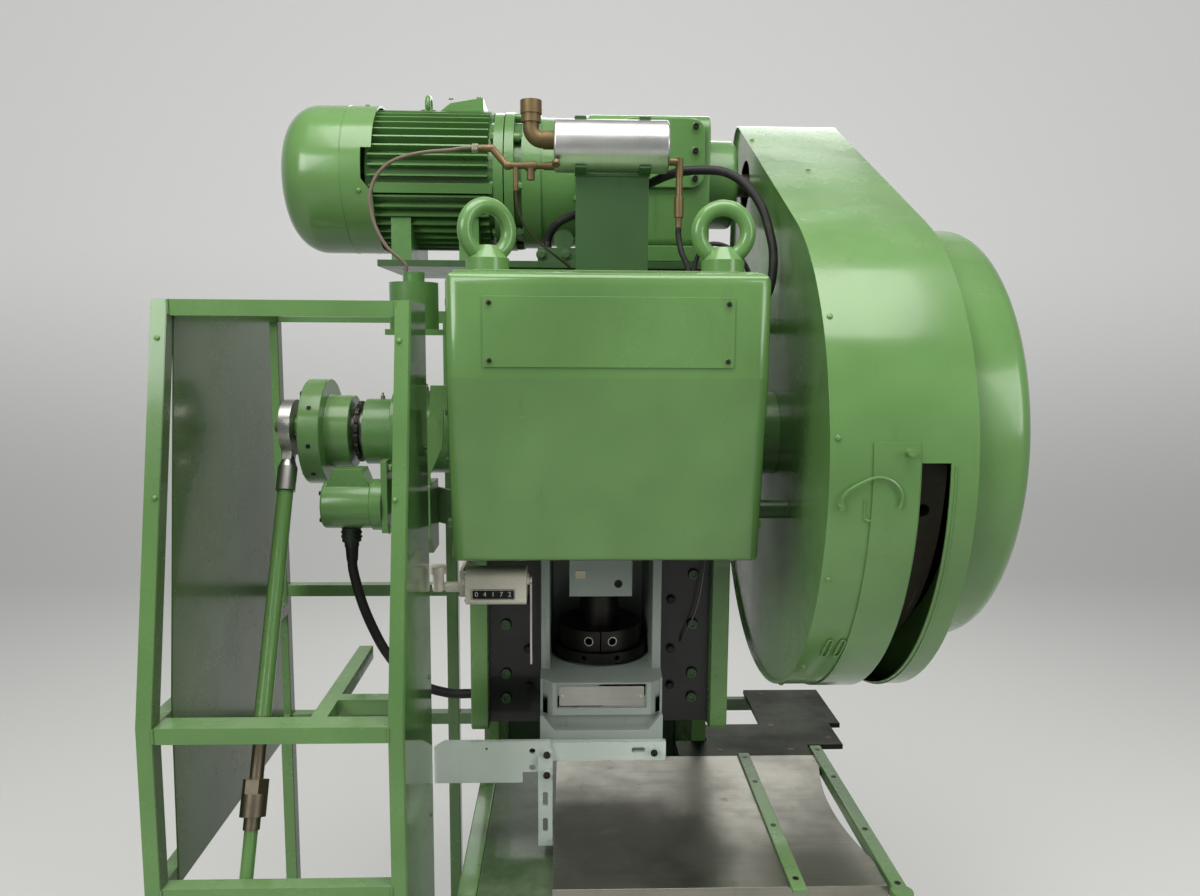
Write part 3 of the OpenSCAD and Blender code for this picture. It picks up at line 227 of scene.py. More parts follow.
def lighter(colour, share, lift=0.0):
    """The same colour at more of its light, plus a little white, kept under white."""
    return tuple(min(1, c * share + lift) for c in colour[:3]) + (1,)


def enamel(name, colour, rough=0.24, cast=0.0, grime=0.35, chips=0.5, wave=1.0, dust=0.15, parts=()):
    """Thick machine enamel: slow shade changes, orange peel, runs of oil, dust on top, chipped edges and a
    painted highlight along every edge.
    Each of parts is an axis, two places along it, and the colour and roughness of what lies between them."""
    s = Shade(name, Coat_Weight=0.22, Coat_Roughness=0.08, Specular_IOR_Level=0.4)
    broad = s.noise(2.6, 3)
    patch = s.noise(11, 4, 0.65)
    runs = s.noise(1.0, 4, 0.6, s.stretched(34, 34, 2.2))
    pale = lighter(colour, 1.22, 0.01)
    base = s.mix(broad.above(0.3, 0.72), darker(colour, 0.72), pale)
    base = s.mix(0.45, base, colour)
    oily = darker(colour, 0.34)
    dirt = (runs.above(0.56, 0.8) * patch.above(0.38, 0.7) * grime).limit()
    base = s.mix(dirt, base, oily)
    top = s.upward().above(0.5, 0.98)
    dusty = (top * patch.above(0.3, 0.75) * dust).limit()
    base = s.mix(dusty, base, DUST)
    edge = s.edges(0.0035)
    specks = s.noise(70, 3, 0.7)
    worn = (edge * specks.above(0.6 - 0.12 * chips, 0.74) * min(1, chips * 1.6)).limit()
    # Every edge is mixed a little towards the pale green: a painted highlight along the edges, partly thin
    # worn paint
    base = s.mix(edge * 0.16, base, pale)
    base = s.mix(worn, base, BARE_IRON)
    smudge = s.noise(5, 5, 0.7)
    gloss = smudge.above(0.35, 0.75) * 0.12 + rough - 0.03 + dirt * 0.15 + dusty * 0.5 + worn * 0.3
    dents = s.noise(3.4, 1, 0.4)
    peel = s.noise(240, 2, 0.5)
    normal = s.bump(dents, 0.22 * wave, 0.012)
    normal = s.bump(peel, 0.05 + 0.1 * cast, 0.0012, normal)
    if cast:
        grit = s.noise(95, 4, 0.65)
        normal = s.bump(grit, 0.55 * cast, 0.0022, normal)
    normal = s.bump(1.0 - worn, 0.4, 0.0004, normal)
    for axis, low, high, other, smooth in parts:
        along = s.node("SeparateXYZ", {}, s.place, out=axis)
        inside = (along > low) * (along < high)
        base = s.mix(inside, base, s.mix(patch.above(0.35, 0.7) * 0.4, other, oily))
        gloss = gloss * (1.0 - inside) + inside * (smudge.above(0.35, 0.75) * 0.1 + smooth)
    s.set(Base_Color=base, Roughness=gloss.limit(), Normal=normal)
    return s.material


def ground_steel(name, colour, grain=(3, 140, 140), rough=0.3, stains=0.5, rust=0.0, marks=0.6, dark=0.5,
                 metal=1.0):
    """Machined steel: fine grain one way, crossing scratches, oil stains and a little rust."""
    s = Shade(name, Specular_IOR_Level=0.5)
    lines = s.noise(1.0, 3, 0.6, s.stretched(*grain))
    scratch_a = s.noise(1.0, 2, 0.5, s.stretched(6, 900, 900, (0, 0, 0.5)))
    scratch_b = s.noise(1.0, 2, 0.5, s.stretched(900, 7, 900, (0, 0, 0.9)))
    cut = (scratch_a.above(0.68, 0.74) + scratch_b.above(0.7, 0.75)).limit() * marks
    patch = s.noise(4.5, 5, 0.6)
    blot = s.noise(17, 4, 0.6)
    base = s.mix(patch.above(0.35, 0.7) * stains, colour, darker(colour, dark))
    base = s.mix(lines.above(0.3, 0.7) * 0.22, base, darker(colour, 0.7))
    base = s.mix(cut * 0.6, base, lighter(colour, 1.5))
    red = (blot.above(0.62 - 0.25 * rust, 0.78 - 0.2 * rust) * (0.25 + rust)).limit()
    base = s.mix(red, base, RUST_BLOOM)
    gloss = lines * 0.16 + patch.above(0.3, 0.7) * 0.16 + rough - 0.08 + red * 0.35 - cut * 0.05
    normal = s.bump(lines, 0.1, 0.0006)
    normal = s.bump(1.0 - cut, 0.3, 0.0003, normal)
    s.set(Base_Color=base, Roughness=gloss.limit(), Metallic=(metal - red * 0.9 * metal).limit(),
          Normal=normal)
    return s.material


def rusted(name, colour):
    """An iron rim with brown rust, dark oil and a few bright rubbed places."""
    s = Shade(name, Specular_IOR_Level=0.4)
    big = s.noise(6, 5, 0.65)
    small = s.noise(46, 5, 0.7)
    base = s.mix(big.above(0.35, 0.8) * 0.8, colour, srgb(84, 60, 40))
    base = s.mix(small.above(0.5, 0.75) * 0.7, base, srgb(34, 28, 22))
    rubbed = (s.noise(1.0, 3, 0.6, s.stretched(60, 5, 5)).above(0.6, 0.72) * 0.6).limit()
    base = s.mix(rubbed, base, srgb(120, 112, 104))
    s.set(Base_Color=base, Metallic=rubbed, Roughness=(0.72 - rubbed * 0.3).limit(),
          Normal=s.bump(small, 0.35, 0.001))
    return s.material


def rubber(name, colour, rough=0.55):
    """Black rubber or plastic with dust and scuffs."""
    s = Shade(name, Specular_IOR_Level=0.35)
    dust = s.noise(24, 4, 0.65)
    base = s.mix(dust.above(0.5, 0.8) * 0.35, colour, srgb(84, 80, 72))
    s.set(Base_Color=base, Roughness=(dust * 0.2 + rough - 0.1).limit(),
          Normal=s.bump(s.noise(600, 2), 0.15, 0.0004))
    return s.material


def plain_stage(name, colour, shown):
    """A pale floor that keeps the shadow, with a wall that is lifted for the camera and for reflections."""
    s = Shade(name, Roughness=0.9, Specular_IOR_Level=0.1, Emission_Strength=1.0)
    path = s.node("LightPath", {}, out="Is Camera Ray")
    glossy = s.node("LightPath", {}, out="Is Glossy Ray")
    height = s.node("SeparateXYZ", {}, s.place, out="Z").above(0.0, 3.0)
    lift = (path + glossy).limit() * (height * 0.65 + 0.35) * shown
    s.set(Base_Color=colour, Emission_Color=s.mix(lift, (0, 0, 0, 1), (1, 1, 1, 1)))
    return s.material


GREEN = srgb(92, 131, 72)
OLD_GREEN = srgb(52, 84, 44)
GREY = srgb(146, 156, 148)
PAINT = enamel("gloss green enamel", GREEN)
SHEET_PAINT = enamel("sheet metal enamel", GREEN, rough=0.2, wave=1.6, grime=0.25, chips=0.35)
CAST_PAINT = enamel("cast iron enamel", srgb(84, 126, 66), rough=0.3, cast=0.7, grime=0.45, wave=0.6)
DARK_PAINT = enamel("old dark enamel", OLD_GREEN, rough=0.38, cast=0.3, grime=0.8, chips=0.8, dust=0.3)
GREY_PAINT = enamel("light grey enamel", GREY, rough=0.36, cast=0.15, grime=0.75, chips=0.9, wave=0.5,
                    dust=0.2)
# Two sheets of the guard frame get darker copies of the green as painted shade on them; the second is also
# glossier
PANEL_IN_PAINTED_SHADE = ("X", -0.8125, -0.8070, srgb(62, 86, 44), 0.22)
GLOSSY_SHEET_IN_PAINTED_SHADE = ("X", -0.3690, -0.3645, srgb(70, 106, 54), 0.08)
GUARD_PAINT = enamel("guard frame enamel", GREEN, parts=(PANEL_IN_PAINTED_SHADE, GLOSSY_SHEET_IN_PAINTED_SHADE))
CABLE_GLAND = ("Z", 1.40, 1.5022, srgb(20, 20, 19), 0.45)
SWITCH_PAINT = enamel("switch enamel", srgb(88, 130, 68), rough=0.26, cast=0.4, grime=0.3,
                      parts=(CABLE_GLAND,))
# Near-black enamel for the slide's gibs: oil on them, and painted shade of the slide's throat
OILY_SHADE_BLACK_PAINT = enamel("oil and painted shade blackened enamel", srgb(15, 19, 13), rough=0.34, cast=0.2, grime=0.9, chips=0.5,
                    dust=0.1)
BAR_PAINT = enamel("pale bar enamel", srgb(194, 205, 194), rough=0.34, grime=0.55, chips=1.0, wave=0.4,
                   dust=0.1)
TABLE_STEEL = ground_steel("ground table steel", srgb(148, 146, 136), grain=(4, 220, 220), rough=0.34,
                           stains=0.6, rust=0.04, marks=0.8, dark=0.6)
REAR_STEEL = ground_steel("oily plate steel", srgb(38, 42, 30), grain=(4, 160, 160), rough=0.4, stains=0.8,
                          rust=0.1, marks=0.5, dark=0.45)
ROD_STEEL = ground_steel("handled rod steel", srgb(128, 118, 100), grain=(200, 200, 200), rough=0.4,
                         stains=0.7, rust=0.2, marks=0.2, dark=0.45)
CASE_ALLOY = ground_steel("satin counter case", srgb(226, 220, 204), grain=(240, 240, 240), rough=0.42,
                          stains=0.3, marks=0.15, dark=0.85, metal=0.2)
BRIGHT = ground_steel("bright machined steel", srgb(196, 194, 188), grain=(200, 200, 30), rough=0.24,
                      stains=0.35, marks=0.2, dark=0.65)
SATIN = ground_steel("satin steel plate", srgb(178, 176, 168), grain=(4, 260, 260), rough=0.34,
                     stains=0.4, marks=0.5, dark=0.6)
STEEL = ground_steel("oiled shaft steel", srgb(120, 118, 112), grain=(260, 260, 260), rough=0.3,
                     stains=0.6, marks=0.2, rust=0.1)
BLACK_STEEL = ground_steel("oily dark steel", srgb(62, 60, 56), grain=(40, 40, 160), rough=0.34,
                           stains=0.7, marks=0.3, rust=0.15, dark=0.4)
BRONZE = ground_steel("bearing bronze", srgb(150, 116, 74), rough=0.35, stains=0.6, marks=0.1)
BRASS = ground_steel("aged brass", srgb(122, 104, 72), grain=(160, 160, 160), rough=0.46, stains=0.7,
                     marks=0.1, dark=0.45, metal=0.75)
ALLOY = ground_steel("brushed aluminium tube", srgb(206, 206, 202), grain=(420, 3, 3), rough=0.28,
                     stains=0.3, marks=0.25, dark=0.7)
RUST = rusted("rusty iron", srgb(50, 50, 38))
RUBBER = rubber("black rubber", srgb(24, 24, 23))
TUBE_SKIN = rubber("taupe nylon tube", srgb(104, 90, 78), rough=0.4)
COPPER = ground_steel("aged copper tube", srgb(82, 68, 52), grain=(160, 160, 160), rough=0.42, stains=0.5,
                      marks=0.1, dark=0.5, metal=0.7)
DARK_HOLE = rubber("shadowed recess", srgb(14, 16, 13), rough=0.7)
INK = rubber("white counter ink", srgb(214, 214, 206), rough=0.5)
ZINC = ground_steel("zinc plated steel", srgb(176, 170, 150), rough=0.33, stains=0.45, marks=0.2, dark=0.6)

NODE_LOOK = {
    "gloss": (PAINT, "gloss_green"),
    "sheet": (SHEET_PAINT, "gloss_green"),
    "cast": (CAST_PAINT, "gloss_green"),
    "dark": (DARK_PAINT, "dark_green"),
    "grey": (GREY_PAINT, "slide_grey"),
    "table": (TABLE_STEEL, "bare_steel"),
    "bright": (BRIGHT, "bright_steel"),
    "satin": (SATIN, "bright_steel"),
    "steel": (STEEL, "bare_steel"),
    "black": (BLACK_STEEL, "dark_steel"),
    "rust": (RUST, "rusty_iron"),
    "bronze": (BRONZE, "bronze"),
    "brass": (BRASS, "brass"),
    "alloy": (ALLOY, "tank_aluminium"),
    "rubber": (RUBBER, "black_rubber"),
    "zinc": (ZINC, "bright_steel"),
    "guard": (GUARD_PAINT, "gloss_green"),
    "switch": (SWITCH_PAINT, "gloss_green"),
    "oil_and_shade_black": (OILY_SHADE_BLACK_PAINT, "dark_green"),
    "bar": (BAR_PAINT, "slide_grey"),
    "rear": (REAR_STEEL, "bare_steel"),
    "rod": (ROD_STEEL, "bare_steel"),
    "case": (CASE_ALLOY, "bright_steel"),
    "tube": (TUBE_SKIN, "black_rubber"),
    "copper": (COPPER, "brass"),
    "hole": (DARK_HOLE, "black_rubber"),
    "ink": (INK, "black_rubber"),
}


# Meshes
def finish_mesh(name, mesh, look, body, crease=32, bevel=0.0):
    """Links a mesh as a piece: material, smooth faces with creases, an edge radius and its body."""
    material, slot = NODE_LOOK[look]
    mesh.materials.clear()
    mesh.materials.append(material)
    mesh.polygons.foreach_set("use_smooth", np.ones(len(mesh.polygons), bool))
    mesh.set_sharp_from_angle(angle=math.radians(crease))
    piece = bpy.data.objects.new(name, mesh)
    bpy.context.scene.collection.objects.link(piece)
    if bevel:
        rounding = piece.modifiers.new("edge radius", "BEVEL")
        rounding.width = bevel
        rounding.segments = 2
        rounding.limit_method = "ANGLE"
        rounding.angle_limit = math.radians(crease)
        rounding.harden_normals = True
    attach(piece, body)
    return piece


def clean_mesh(name, points, faces, turn=True):
    """Points and faces as a mesh with its poles merged and its faces turned outwards."""
    mesh = bpy.data.meshes.new(name)
    points = np.asarray(points, float).reshape(-1, 3)
    mesh.from_pydata(points.tolist(), [], [list(map(int, f)) for f in faces])
    bm = bmesh.new()
    bm.from_mesh(mesh)
    bmesh.ops.remove_doubles(bm, verts=bm.verts, dist=1e-6)
    if turn:
        bmesh.ops.recalc_face_normals(bm, faces=bm.faces)
    bm.to_mesh(mesh)
    bm.free()
    return mesh


# Nodes whose many-sided faces are split, and those of them that keep their full edge radius
SPLIT_FACES = ("slide", "side_guard", "feed_crank")
FULL_EDGES = ("slide", "feed_crank")


def dressed(node, look, bevel, crease=32):
    """The CAD node as one merged mesh with a small radius along its sharp edges."""
    source = NODES[node].data
    bm = bmesh.new()
    bm.from_mesh(source)
    bmesh.ops.remove_doubles(bm, verts=bm.verts, dist=2e-6)
    bmesh.ops.dissolve_limit(bm, angle_limit=math.radians(0.5), verts=bm.verts, edges=bm.edges)
    if node in SPLIT_FACES:
        bmesh.ops.triangulate(bm, faces=[f for f in bm.faces if len(f.verts) > 4])
    points = [v.co[:] for v in bm.verts]
    faces = [[v.index for v in f.verts] for f in bm.faces]
    bm.free()
    mesh = bpy.data.meshes.new("dressed_" + node)
    mesh.from_pydata(points, [], faces)
    piece = finish_mesh("dressed_" + node, mesh, look, BODY[node], crease, bevel)
    if node in FULL_EDGES:
        piece.modifiers["edge radius"].use_clamp_overlap = False
    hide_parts(node)


def repaint(node, look):
    """A CAD node that keeps its own mesh and gets a full material."""
    thing = NODES[node]
    thing.data.materials.clear()
    thing.data.materials.append(NODE_LOOK[look][0])


def grid_faces(rows, cols, tube=False):
    """Quads between neighbouring rows and columns, closed round the columns for a tube."""
    i = np.arange(rows - 1)[:, None]
    j = np.arange(cols if tube else cols - 1)[None, :]
    m = (j + 1) % cols
    return np.stack([i * cols + j, i * cols + m, (i + 1) * cols + m, (i + 1) * cols + j], -1).reshape(-1, 4)


def turned(profile, at, axis, sides=32):
    """A profile of (radius, height) pairs turned round an axis: at + h*axis + r*(u cos a + v sin a)."""
    profile = np.asarray(profile, float)
    w = np.asarray(axis, float) / np.linalg.norm(axis)
    u = np.cross(w, (0.0, 0.0, 1.0) if abs(w[2]) < 0.9 else (1.0, 0.0, 0.0))
    u = u / np.linalg.norm(u)
    v = np.cross(w, u)
    a = np.linspace(0, 2 * np.pi, sides, endpoint=False) + np.pi / sides
    wheel = np.cos(a)[:, None] * u + np.sin(a)[:, None] * v
    points = (np.asarray(at, float) + profile[:, 1, None, None] * w
              + profile[:, 0, None, None] * wheel[None])
    return points.reshape(-1, 3), grid_faces(len(profile), sides, tube=True)


HEX_HEAD = [(0, 1.0), (0.86, 1.0), (1.0, 0.9), (1.0, 0.25), (1.0, 0)]


def joined(parts):
    """Several (points, faces) pairs as one."""
    points = []
    faces = []
    start = 0
    for p, f in parts:
        p = np.asarray(p, float).reshape(-1, 3)
        points.append(p)
        faces.extend((np.asarray(face) + start).tolist() for face in f)
        start += len(p)
    return np.concatenate(points), faces


def hex_bolts(spots, axis, size, height, washer=True):
    """Hexagon heads, each with a turned washer, at the given spots along one axis."""
    parts = []
    lift = 0.18 * height if washer else 0
    head = [(r * size / 2, lift + h * height) for r, h in HEX_HEAD]
    disc = [(0, lift), (size * 0.66, lift), (size * 0.7, lift * 0.6), (size * 0.7, 0)]
    for spot in spots:
        parts.append(turned(head, spot, axis, 6))
        if washer:
            parts.append(turned(disc, spot, axis, 20))
    return joined(parts)


def round_screws(spots, axis, size, height):
    """Low domed screw heads: the radius falls away as the height rises."""
    a = np.linspace(0, np.pi / 2, 5)
    profile = [(size / 2, 0)] + [(size / 2 * math.cos(t), height * (0.3 + 0.7 * math.sin(t))) for t in a]
    return joined([turned(profile, spot, axis, 14) for spot in spots])


def socket_screws(spots, axis, size, height):
    """Cap screws with a hexagon socket sunk in the head."""
    profile = [(0, height * 0.45), (size * 0.24, height * 0.45), (size * 0.28, height),
               (size * 0.46, height), (size * 0.5, height * 0.9), (size * 0.5, 0)]
    return joined([turned(profile, spot, axis, 18) for spot in spots])


def piece_of(name, shape, look, body, crease=32, bevel=0.0, turn=True):
    """A worked out shape as a finished piece on a body."""
    return finish_mesh(name, clean_mesh(name, *shape, turn=turn), look, body, crease, bevel)


def curve_points(route, n):
    """A smooth line through chosen points (Catmull and Rom's spline), worked out as whole arrays."""
    p = np.asarray(route, float)
    p = np.concatenate([p[:1], p, p[-1:]])
    t = np.linspace(0, 1, n, endpoint=False)[None, :, None]
    a, b, c, d = (p[i:len(p) - 3 + i, None, :] for i in range(4))
    line = 0.5 * (2 * b + (c - a) * t + (2 * a - 5 * b + 4 * c - d) * t ** 2
                  + (3 * b - a - 3 * c + d) * t ** 3)
    return np.concatenate([line.reshape(-1, 3), p[-2:-1]])


def swept(path, radius, sides=14):
    """A round section carried along a path, closed at both ends.
    Each ring's frame is the one before, turned as little as it can be."""
    path = np.asarray(path, float)
    radius = np.broadcast_to(np.asarray(radius, float), (len(path),))
    ahead = np.gradient(path, axis=0)
    ahead /= np.linalg.norm(ahead, axis=1)[:, None]
    side = np.zeros_like(path)
    first = np.cross(ahead[0], (0.0, 0.0, 1.0) if abs(ahead[0][2]) < 0.9 else (0.0, 1.0, 0.0))
    side[0] = first / np.linalg.norm(first)
    for i in range(1, len(path)):
        s = side[i - 1] - ahead[i] * (side[i - 1] @ ahead[i])
        side[i] = s / np.linalg.norm(s)
    other = np.cross(ahead, side)
    a = np.linspace(0, 2 * np.pi, sides, endpoint=False)
    rings = (path[:, None] + radius[:, None, None] * (np.cos(a)[None, :, None] * side[:, None]
             + np.sin(a)[None, :, None] * other[:, None]))
    faces = grid_faces(len(path), sides, tube=True).tolist()
    faces.append(list(range(sides))[::-1])
    faces.append([(len(path) - 1) * sides + i for i in range(sides)])
    return rings.reshape(-1, 3), faces


def mm(rows):
    """Places written in millimetres, as an array in metres."""
    return np.asarray(rows, float) / 1000


def around_x(x, centre, radius, count, start=0.0):
    """Places on a circle round an axis along X: centre + radius * (cos a, sin a) in Y and Z."""
    a = math.radians(start) + np.arange(count) * 2 * np.pi / count
    y = centre[0] + radius * np.cos(a)
    z = centre[1] + radius * np.sin(a)
    return np.stack([np.full(count, float(x)), y, z], -1)


def resampled(line, step):
    """The same broken line with points at equal steps along its length."""
    line = np.asarray(line, float)
    run = np.concatenate([[0], np.cumsum(np.linalg.norm(np.diff(line, axis=0), axis=1))])
    at = np.linspace(0, run[-1], max(3, int(run[-1] / step) + 1))
    return np.stack([np.interp(at, run, line[:, k]) for k in range(3)], -1)


def weld_bead(line, radius=3.2, ripple=4.5):
    """A weld: a tube along the line, its radius radius * (1 + 0.14 * |sin(pi * s / ripple)|) at the run s."""
    path = resampled(mm(line), ripple / 4000)
    run = np.arange(len(path)) * ripple / 4
    size = radius / 1000 * (1 + 0.14 * np.abs(np.sin(np.pi * run / ripple)))
    return swept(path, size, 8)


# Lines held at both ends: hoses, a conduit, a cable and small tubes
def held_line(name, route, diameter, look, node=None, body="root"):
    """A tube along its route that ends in the machine at both ends."""
    path = curve_points(mm(route), 6)
    piece = piece_of(name, swept(path, diameter / 2, 14), look, body, crease=60, turn=False)
    if node:
        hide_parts(node)


held_line("air_signal_tube", [
    (-273.3, -50, 2333), (-290, -50, 2333), (-308, -51, 2332), (-333, -55, 2327), (-385, -65, 2320),
    (-433, -75, 2307), (-466, -80, 2289), (-489, -85, 2261), (-500, -90, 2225), (-498, -92, 2193),
    (-487, -96, 2155), (-464, -100, 2115), (-434, -100, 2088), (-424, -100, 2076), (-424, -100, 2069),
    (-424, -100, 2062.4)], 0.008, "tube", "signal_tube")
held_line("motor_cable_conduit", [
    (-128, 215, 2146.4), (-128, 215, 2156), (-128, 215, 2166), (-122, 208, 2184), (-98, 190, 2208),
    (-60, 170, 2224), (-1, 120, 2245), (56, 70, 2261), (106, 30, 2275), (166, 0, 2295), (230, -10, 2300),
    (281, -20, 2292), (323, -35, 2260), (353, -50, 2213), (368, -66, 2158), (374, -80, 2114),
    (371, -92, 2064), (360, -98, 2022), (338, -100, 1996), (322, -100, 1991), (311, -100, 1991),
    (300.3, -100, 1991)], 0.020, "rubber", "motor_conduit")
held_line("tank_drain_hose", [
    (168, -50, 2167.7), (168, -50, 2160), (168, -50, 2152), (171, -54, 2132), (176, -60, 2110),
    (186, -64, 2088), (190, -65, 2074), (190, -65, 2064), (190, -65, 2055.3)],
    0.013, "rubber", "tank_hose")
held_line("cam_switch_cable", [
    (-559, -85, 1456.7), (-559, -85, 1445), (-559, -85, 1433), (-558, -85, 1405), (-549, -83, 1360),
    (-537, -80, 1315), (-519, -72, 1262), (-495, -60, 1205), (-460, -45, 1150), (-410, -32, 1108),
    (-360, -26, 1090), (-334, -25, 1087), (-317, -25, 1087), (-300.3, -25, 1087)],
    0.022, "rubber", "switch_cable")
held_line("pressure_switch_tube", [
    (-191, -50, 2254), (-191, -50, 2244), (-191, -49, 2232), (-187, -45, 2206), (-176, -36, 2176),
    (-156, -22, 2150), (-128, -6, 2126), (-98, 8, 2104), (-74, 18, 2086), (-62, 24, 2072), (-60, 25, 2064),
    (-60, 25, 2055.5)], 0.005, "copper")
held_line("clutch_air_hose", [
    (196, -110, 2055.5), (196, -110, 2064), (197, -110, 2074), (201, -112, 2094), (210, -118, 2113),
    (225, -128, 2124), (244, -137, 2124), (263, -143, 2117), (281, -147, 2104), (297, -149, 2085),
    (308, -150, 2062), (315, -150, 2036), (318, -150, 2012), (316, -150, 1990), (309, -150, 1979),
    (300.5, -150, 1977)], 0.010, "rubber")
held_line("guide_oil_tube", [
    (259.8, -40, 1470), (254, -41, 1468.5), (248, -44, 1460), (244, -49, 1430), (240, -53, 1392),
    (234, -52, 1346), (225, -47, 1300), (212, -41, 1262), (200, -35, 1236), (193.5, -29, 1222),
    (191.5, -24, 1215), (191, -20.3, 1212)], 0.004, "steel")


# Painted castings and sheet that keep their CAD shape
LOOKS = {
    "base_plate": ("dark", 0.003), "side_plate_left": ("gloss", 0.003), "side_plate_right": ("gloss", 0.003),
    "crown_box": ("gloss", 0.003), "bed_box": ("dark", 0.003), "bearing_housing_left": ("cast", 0.003),
    "bearing_housing_right": ("cast", 0.003), "slide_gibs": ("oil_and_shade_black", 0.002), "front_cover": ("sheet", 0),
    "name_plate": ("gloss", 0.0008), "lifting_eyes": ("gloss", 0.003), "table_plate": ("table", 0.003),
    "table_rails": ("gloss", 0.002), "rear_plate": ("rear", 0.0015), "table_bracket": ("dark", 0.002),
    "motor_frame": ("cast", 0.0015), "fan_cowl": ("sheet", 0.001), "terminal_box": ("cast", 0.006),
    "motor_flange": ("cast", 0.003), "gear_housing": ("cast", 0.004), "gear_cover": ("cast", 0.003),
    "motor_base": ("dark", 0.002), "air_tank": ("alloy", 0.001), "tank_bracket": ("dark", 0.0015),
    "belt_guard": ("sheet", 0.001), "guard_spacers": ("dark", 0.001), "clutch_cover": ("sheet", 0),
    "slot_cover": ("sheet", 0.0008), "flywheel": ("rust", 0.002), "clutch_drum": ("steel", 0.002),
    "drive_pulley": ("steel", 0.001), "crankshaft": ("steel", 0.002), "feed_crank": ("gloss", 0.002),
    "timing_sprocket": ("black", 0.0006), "cam_switch": ("switch", 0.002),
    "switch_bracket": ("gloss", 0.0015),
    "link_head": ("bright", 0.0015), "feed_link": ("gloss", 0.001), "link_coupling": ("rod", 0.0015),
    "connecting_rod": ("grey", 0.003), "adjusting_screw": ("black", 0.001), "clamp_ring": ("black", 0.002),
    "slide": ("grey", 0.002), "retaining_ring": ("black", 0.002), "slide_plate": ("satin", 0.0006),
    "tool_bars": ("bar", 0.0012), "stroke_counter": ("case", 0.0015), "counter_lever": ("bright", 0.0012),
    "oil_pot": ("cast", 0.003), "side_box": ("gloss", 0.002), "side_guard": ("guard", 0.0015),
    "crank_bushes": ("bronze", 0.001), "cooling_fan": ("black", 0.0008), "air_fittings": ("brass", 0.0015),
}
for node, (look, radius) in LOOKS.items():
    dressed(node, look, radius)
for node, look in (("drive_belts", "rubber"), ("cover_catch", "gloss")):
    repaint(node, look)


# Drive on the crown
def motor_details():
    """Screws and a seam on the cowl, nuts and heads round the flanges, box screws, plugs and weld lines."""
    cowl_radius = 188.2
    parts = []
    for x, y, z in around_x(-594, MOTOR_AXIS, cowl_radius, 4, 16):
        out = np.array((0, y - MOTOR_AXIS[0], z - MOTOR_AXIS[1])) / cowl_radius
        parts.append(round_screws([mm((x, y, z))], out, 0.012, 0.004))
    piece_of("cowl_screws", joined(parts), "gloss", "root", crease=40)
    seam = mm([(187.5, -1.6), (188.9, -1.0), (189.2, 0.0), (188.9, 1.0), (187.5, 1.6)])
    piece_of("cowl_seam", turned(seam, mm((-639, *MOTOR_AXIS)), (1, 0, 0), 96), "sheet", "root", crease=70)
    rings = (("flange_nuts", around_x(-264, MOTOR_AXIS, 163, 8, 12), -1, 0.024, 0.009),
             ("flange_bolt_heads", around_x(-199, MOTOR_AXIS, 163, 8, 12), 1, 0.021, 0.007),
             ("drum_end_bolts", around_x(-56, MOTOR_AXIS, 161, 8, 22), -1, 0.018, 0.007))
    for name, spots, way, size, height in rings:
        heads = hex_bolts(mm(spots), (way, 0, 0), size, height, washer=False)
        piece_of(name, heads, "gloss", "root", bevel=0.0006)
    box = mm([(-385, y, 2544.5) for y in (384, 496)] + [(-312, y, 2548.6) for y in (384, 496)])
    piece_of("terminal_box_screws", round_screws(box, (-0.11, 0, 0.99), 0.012, 0.004), "zinc", "root")
    plugs = mm([(-200, 440, CROWN_TOP), (200, 150, CROWN_TOP)])
    piece_of("crown_plugs", hex_bolts(plugs, (0, 0, 1), 0.036, 0.014), "dark", "root", bevel=0.001)
    front = mm([(-142, 190, 2129), (-82, 190, 2129)])
    piece_of("base_block_bolts", hex_bolts(front, (0, -1, 0), 0.020, 0.009), "dark", "root", bevel=0.0008)
    lines = ((-258, 258, 220, CROWN_TOP), (-258, 258, 540, CROWN_TOP), (-58, 99, -54.5, CROWN_TOP),
             (-58, 99, -4, 2067), (-58, 99, -54.5, 2278.5))
    beads = [[(x0, y, z), (x1, y, z)] for x0, x1, y, z in lines]
    piece_of("crown_welds", joined([weld_bead(b) for b in beads]), "dark", "root", crease=80)


def gear_case_details():
    """Sockets in the cover's cap screws, an oil level plug, a breather on top, foot bolts and boss screws."""
    cover = mm([(x, 180, z) for x in (70, 234) for z in (2315, 2381, 2439)])
    piece_of("gear_cover_screws", socket_screws(cover + np.array((0, 0.0002, 0)), (0, -1, 0), 0.0155, 0.004),
             "black", "root", crease=35)
    plug = hex_bolts(mm([(12, 200, 2205)]), (0, -1, 0), 0.026, 0.014)
    piece_of("oil_level_plug", plug, "gloss", "root", bevel=0.0008)
    cap = turned(mm([(0, 34), (13, 34), (17, 31), (18, 24), (18, 13), (10, 11), (10, 0)]),
                 mm((20, 560, 2475)), (0, 0, 1), 28)
    piece_of("gear_case_breather", cap, "brass", "root", bevel=0.0006)
    base = mm([(-31, y, 2153) for y in (240, 400, 570)] + [(279, y, 2153) for y in (240, 570)])
    piece_of("gear_case_bolts", hex_bolts(base, (0, 0, 1), 0.009, 0.006, washer=False), "gloss", "root")
    ring = mm(around_x(282, MOTOR_AXIS, 106, 6, 30))
    piece_of("boss_screws", socket_screws(ring, (1, 0, 0), 0.012, 0.006), "black", "root")


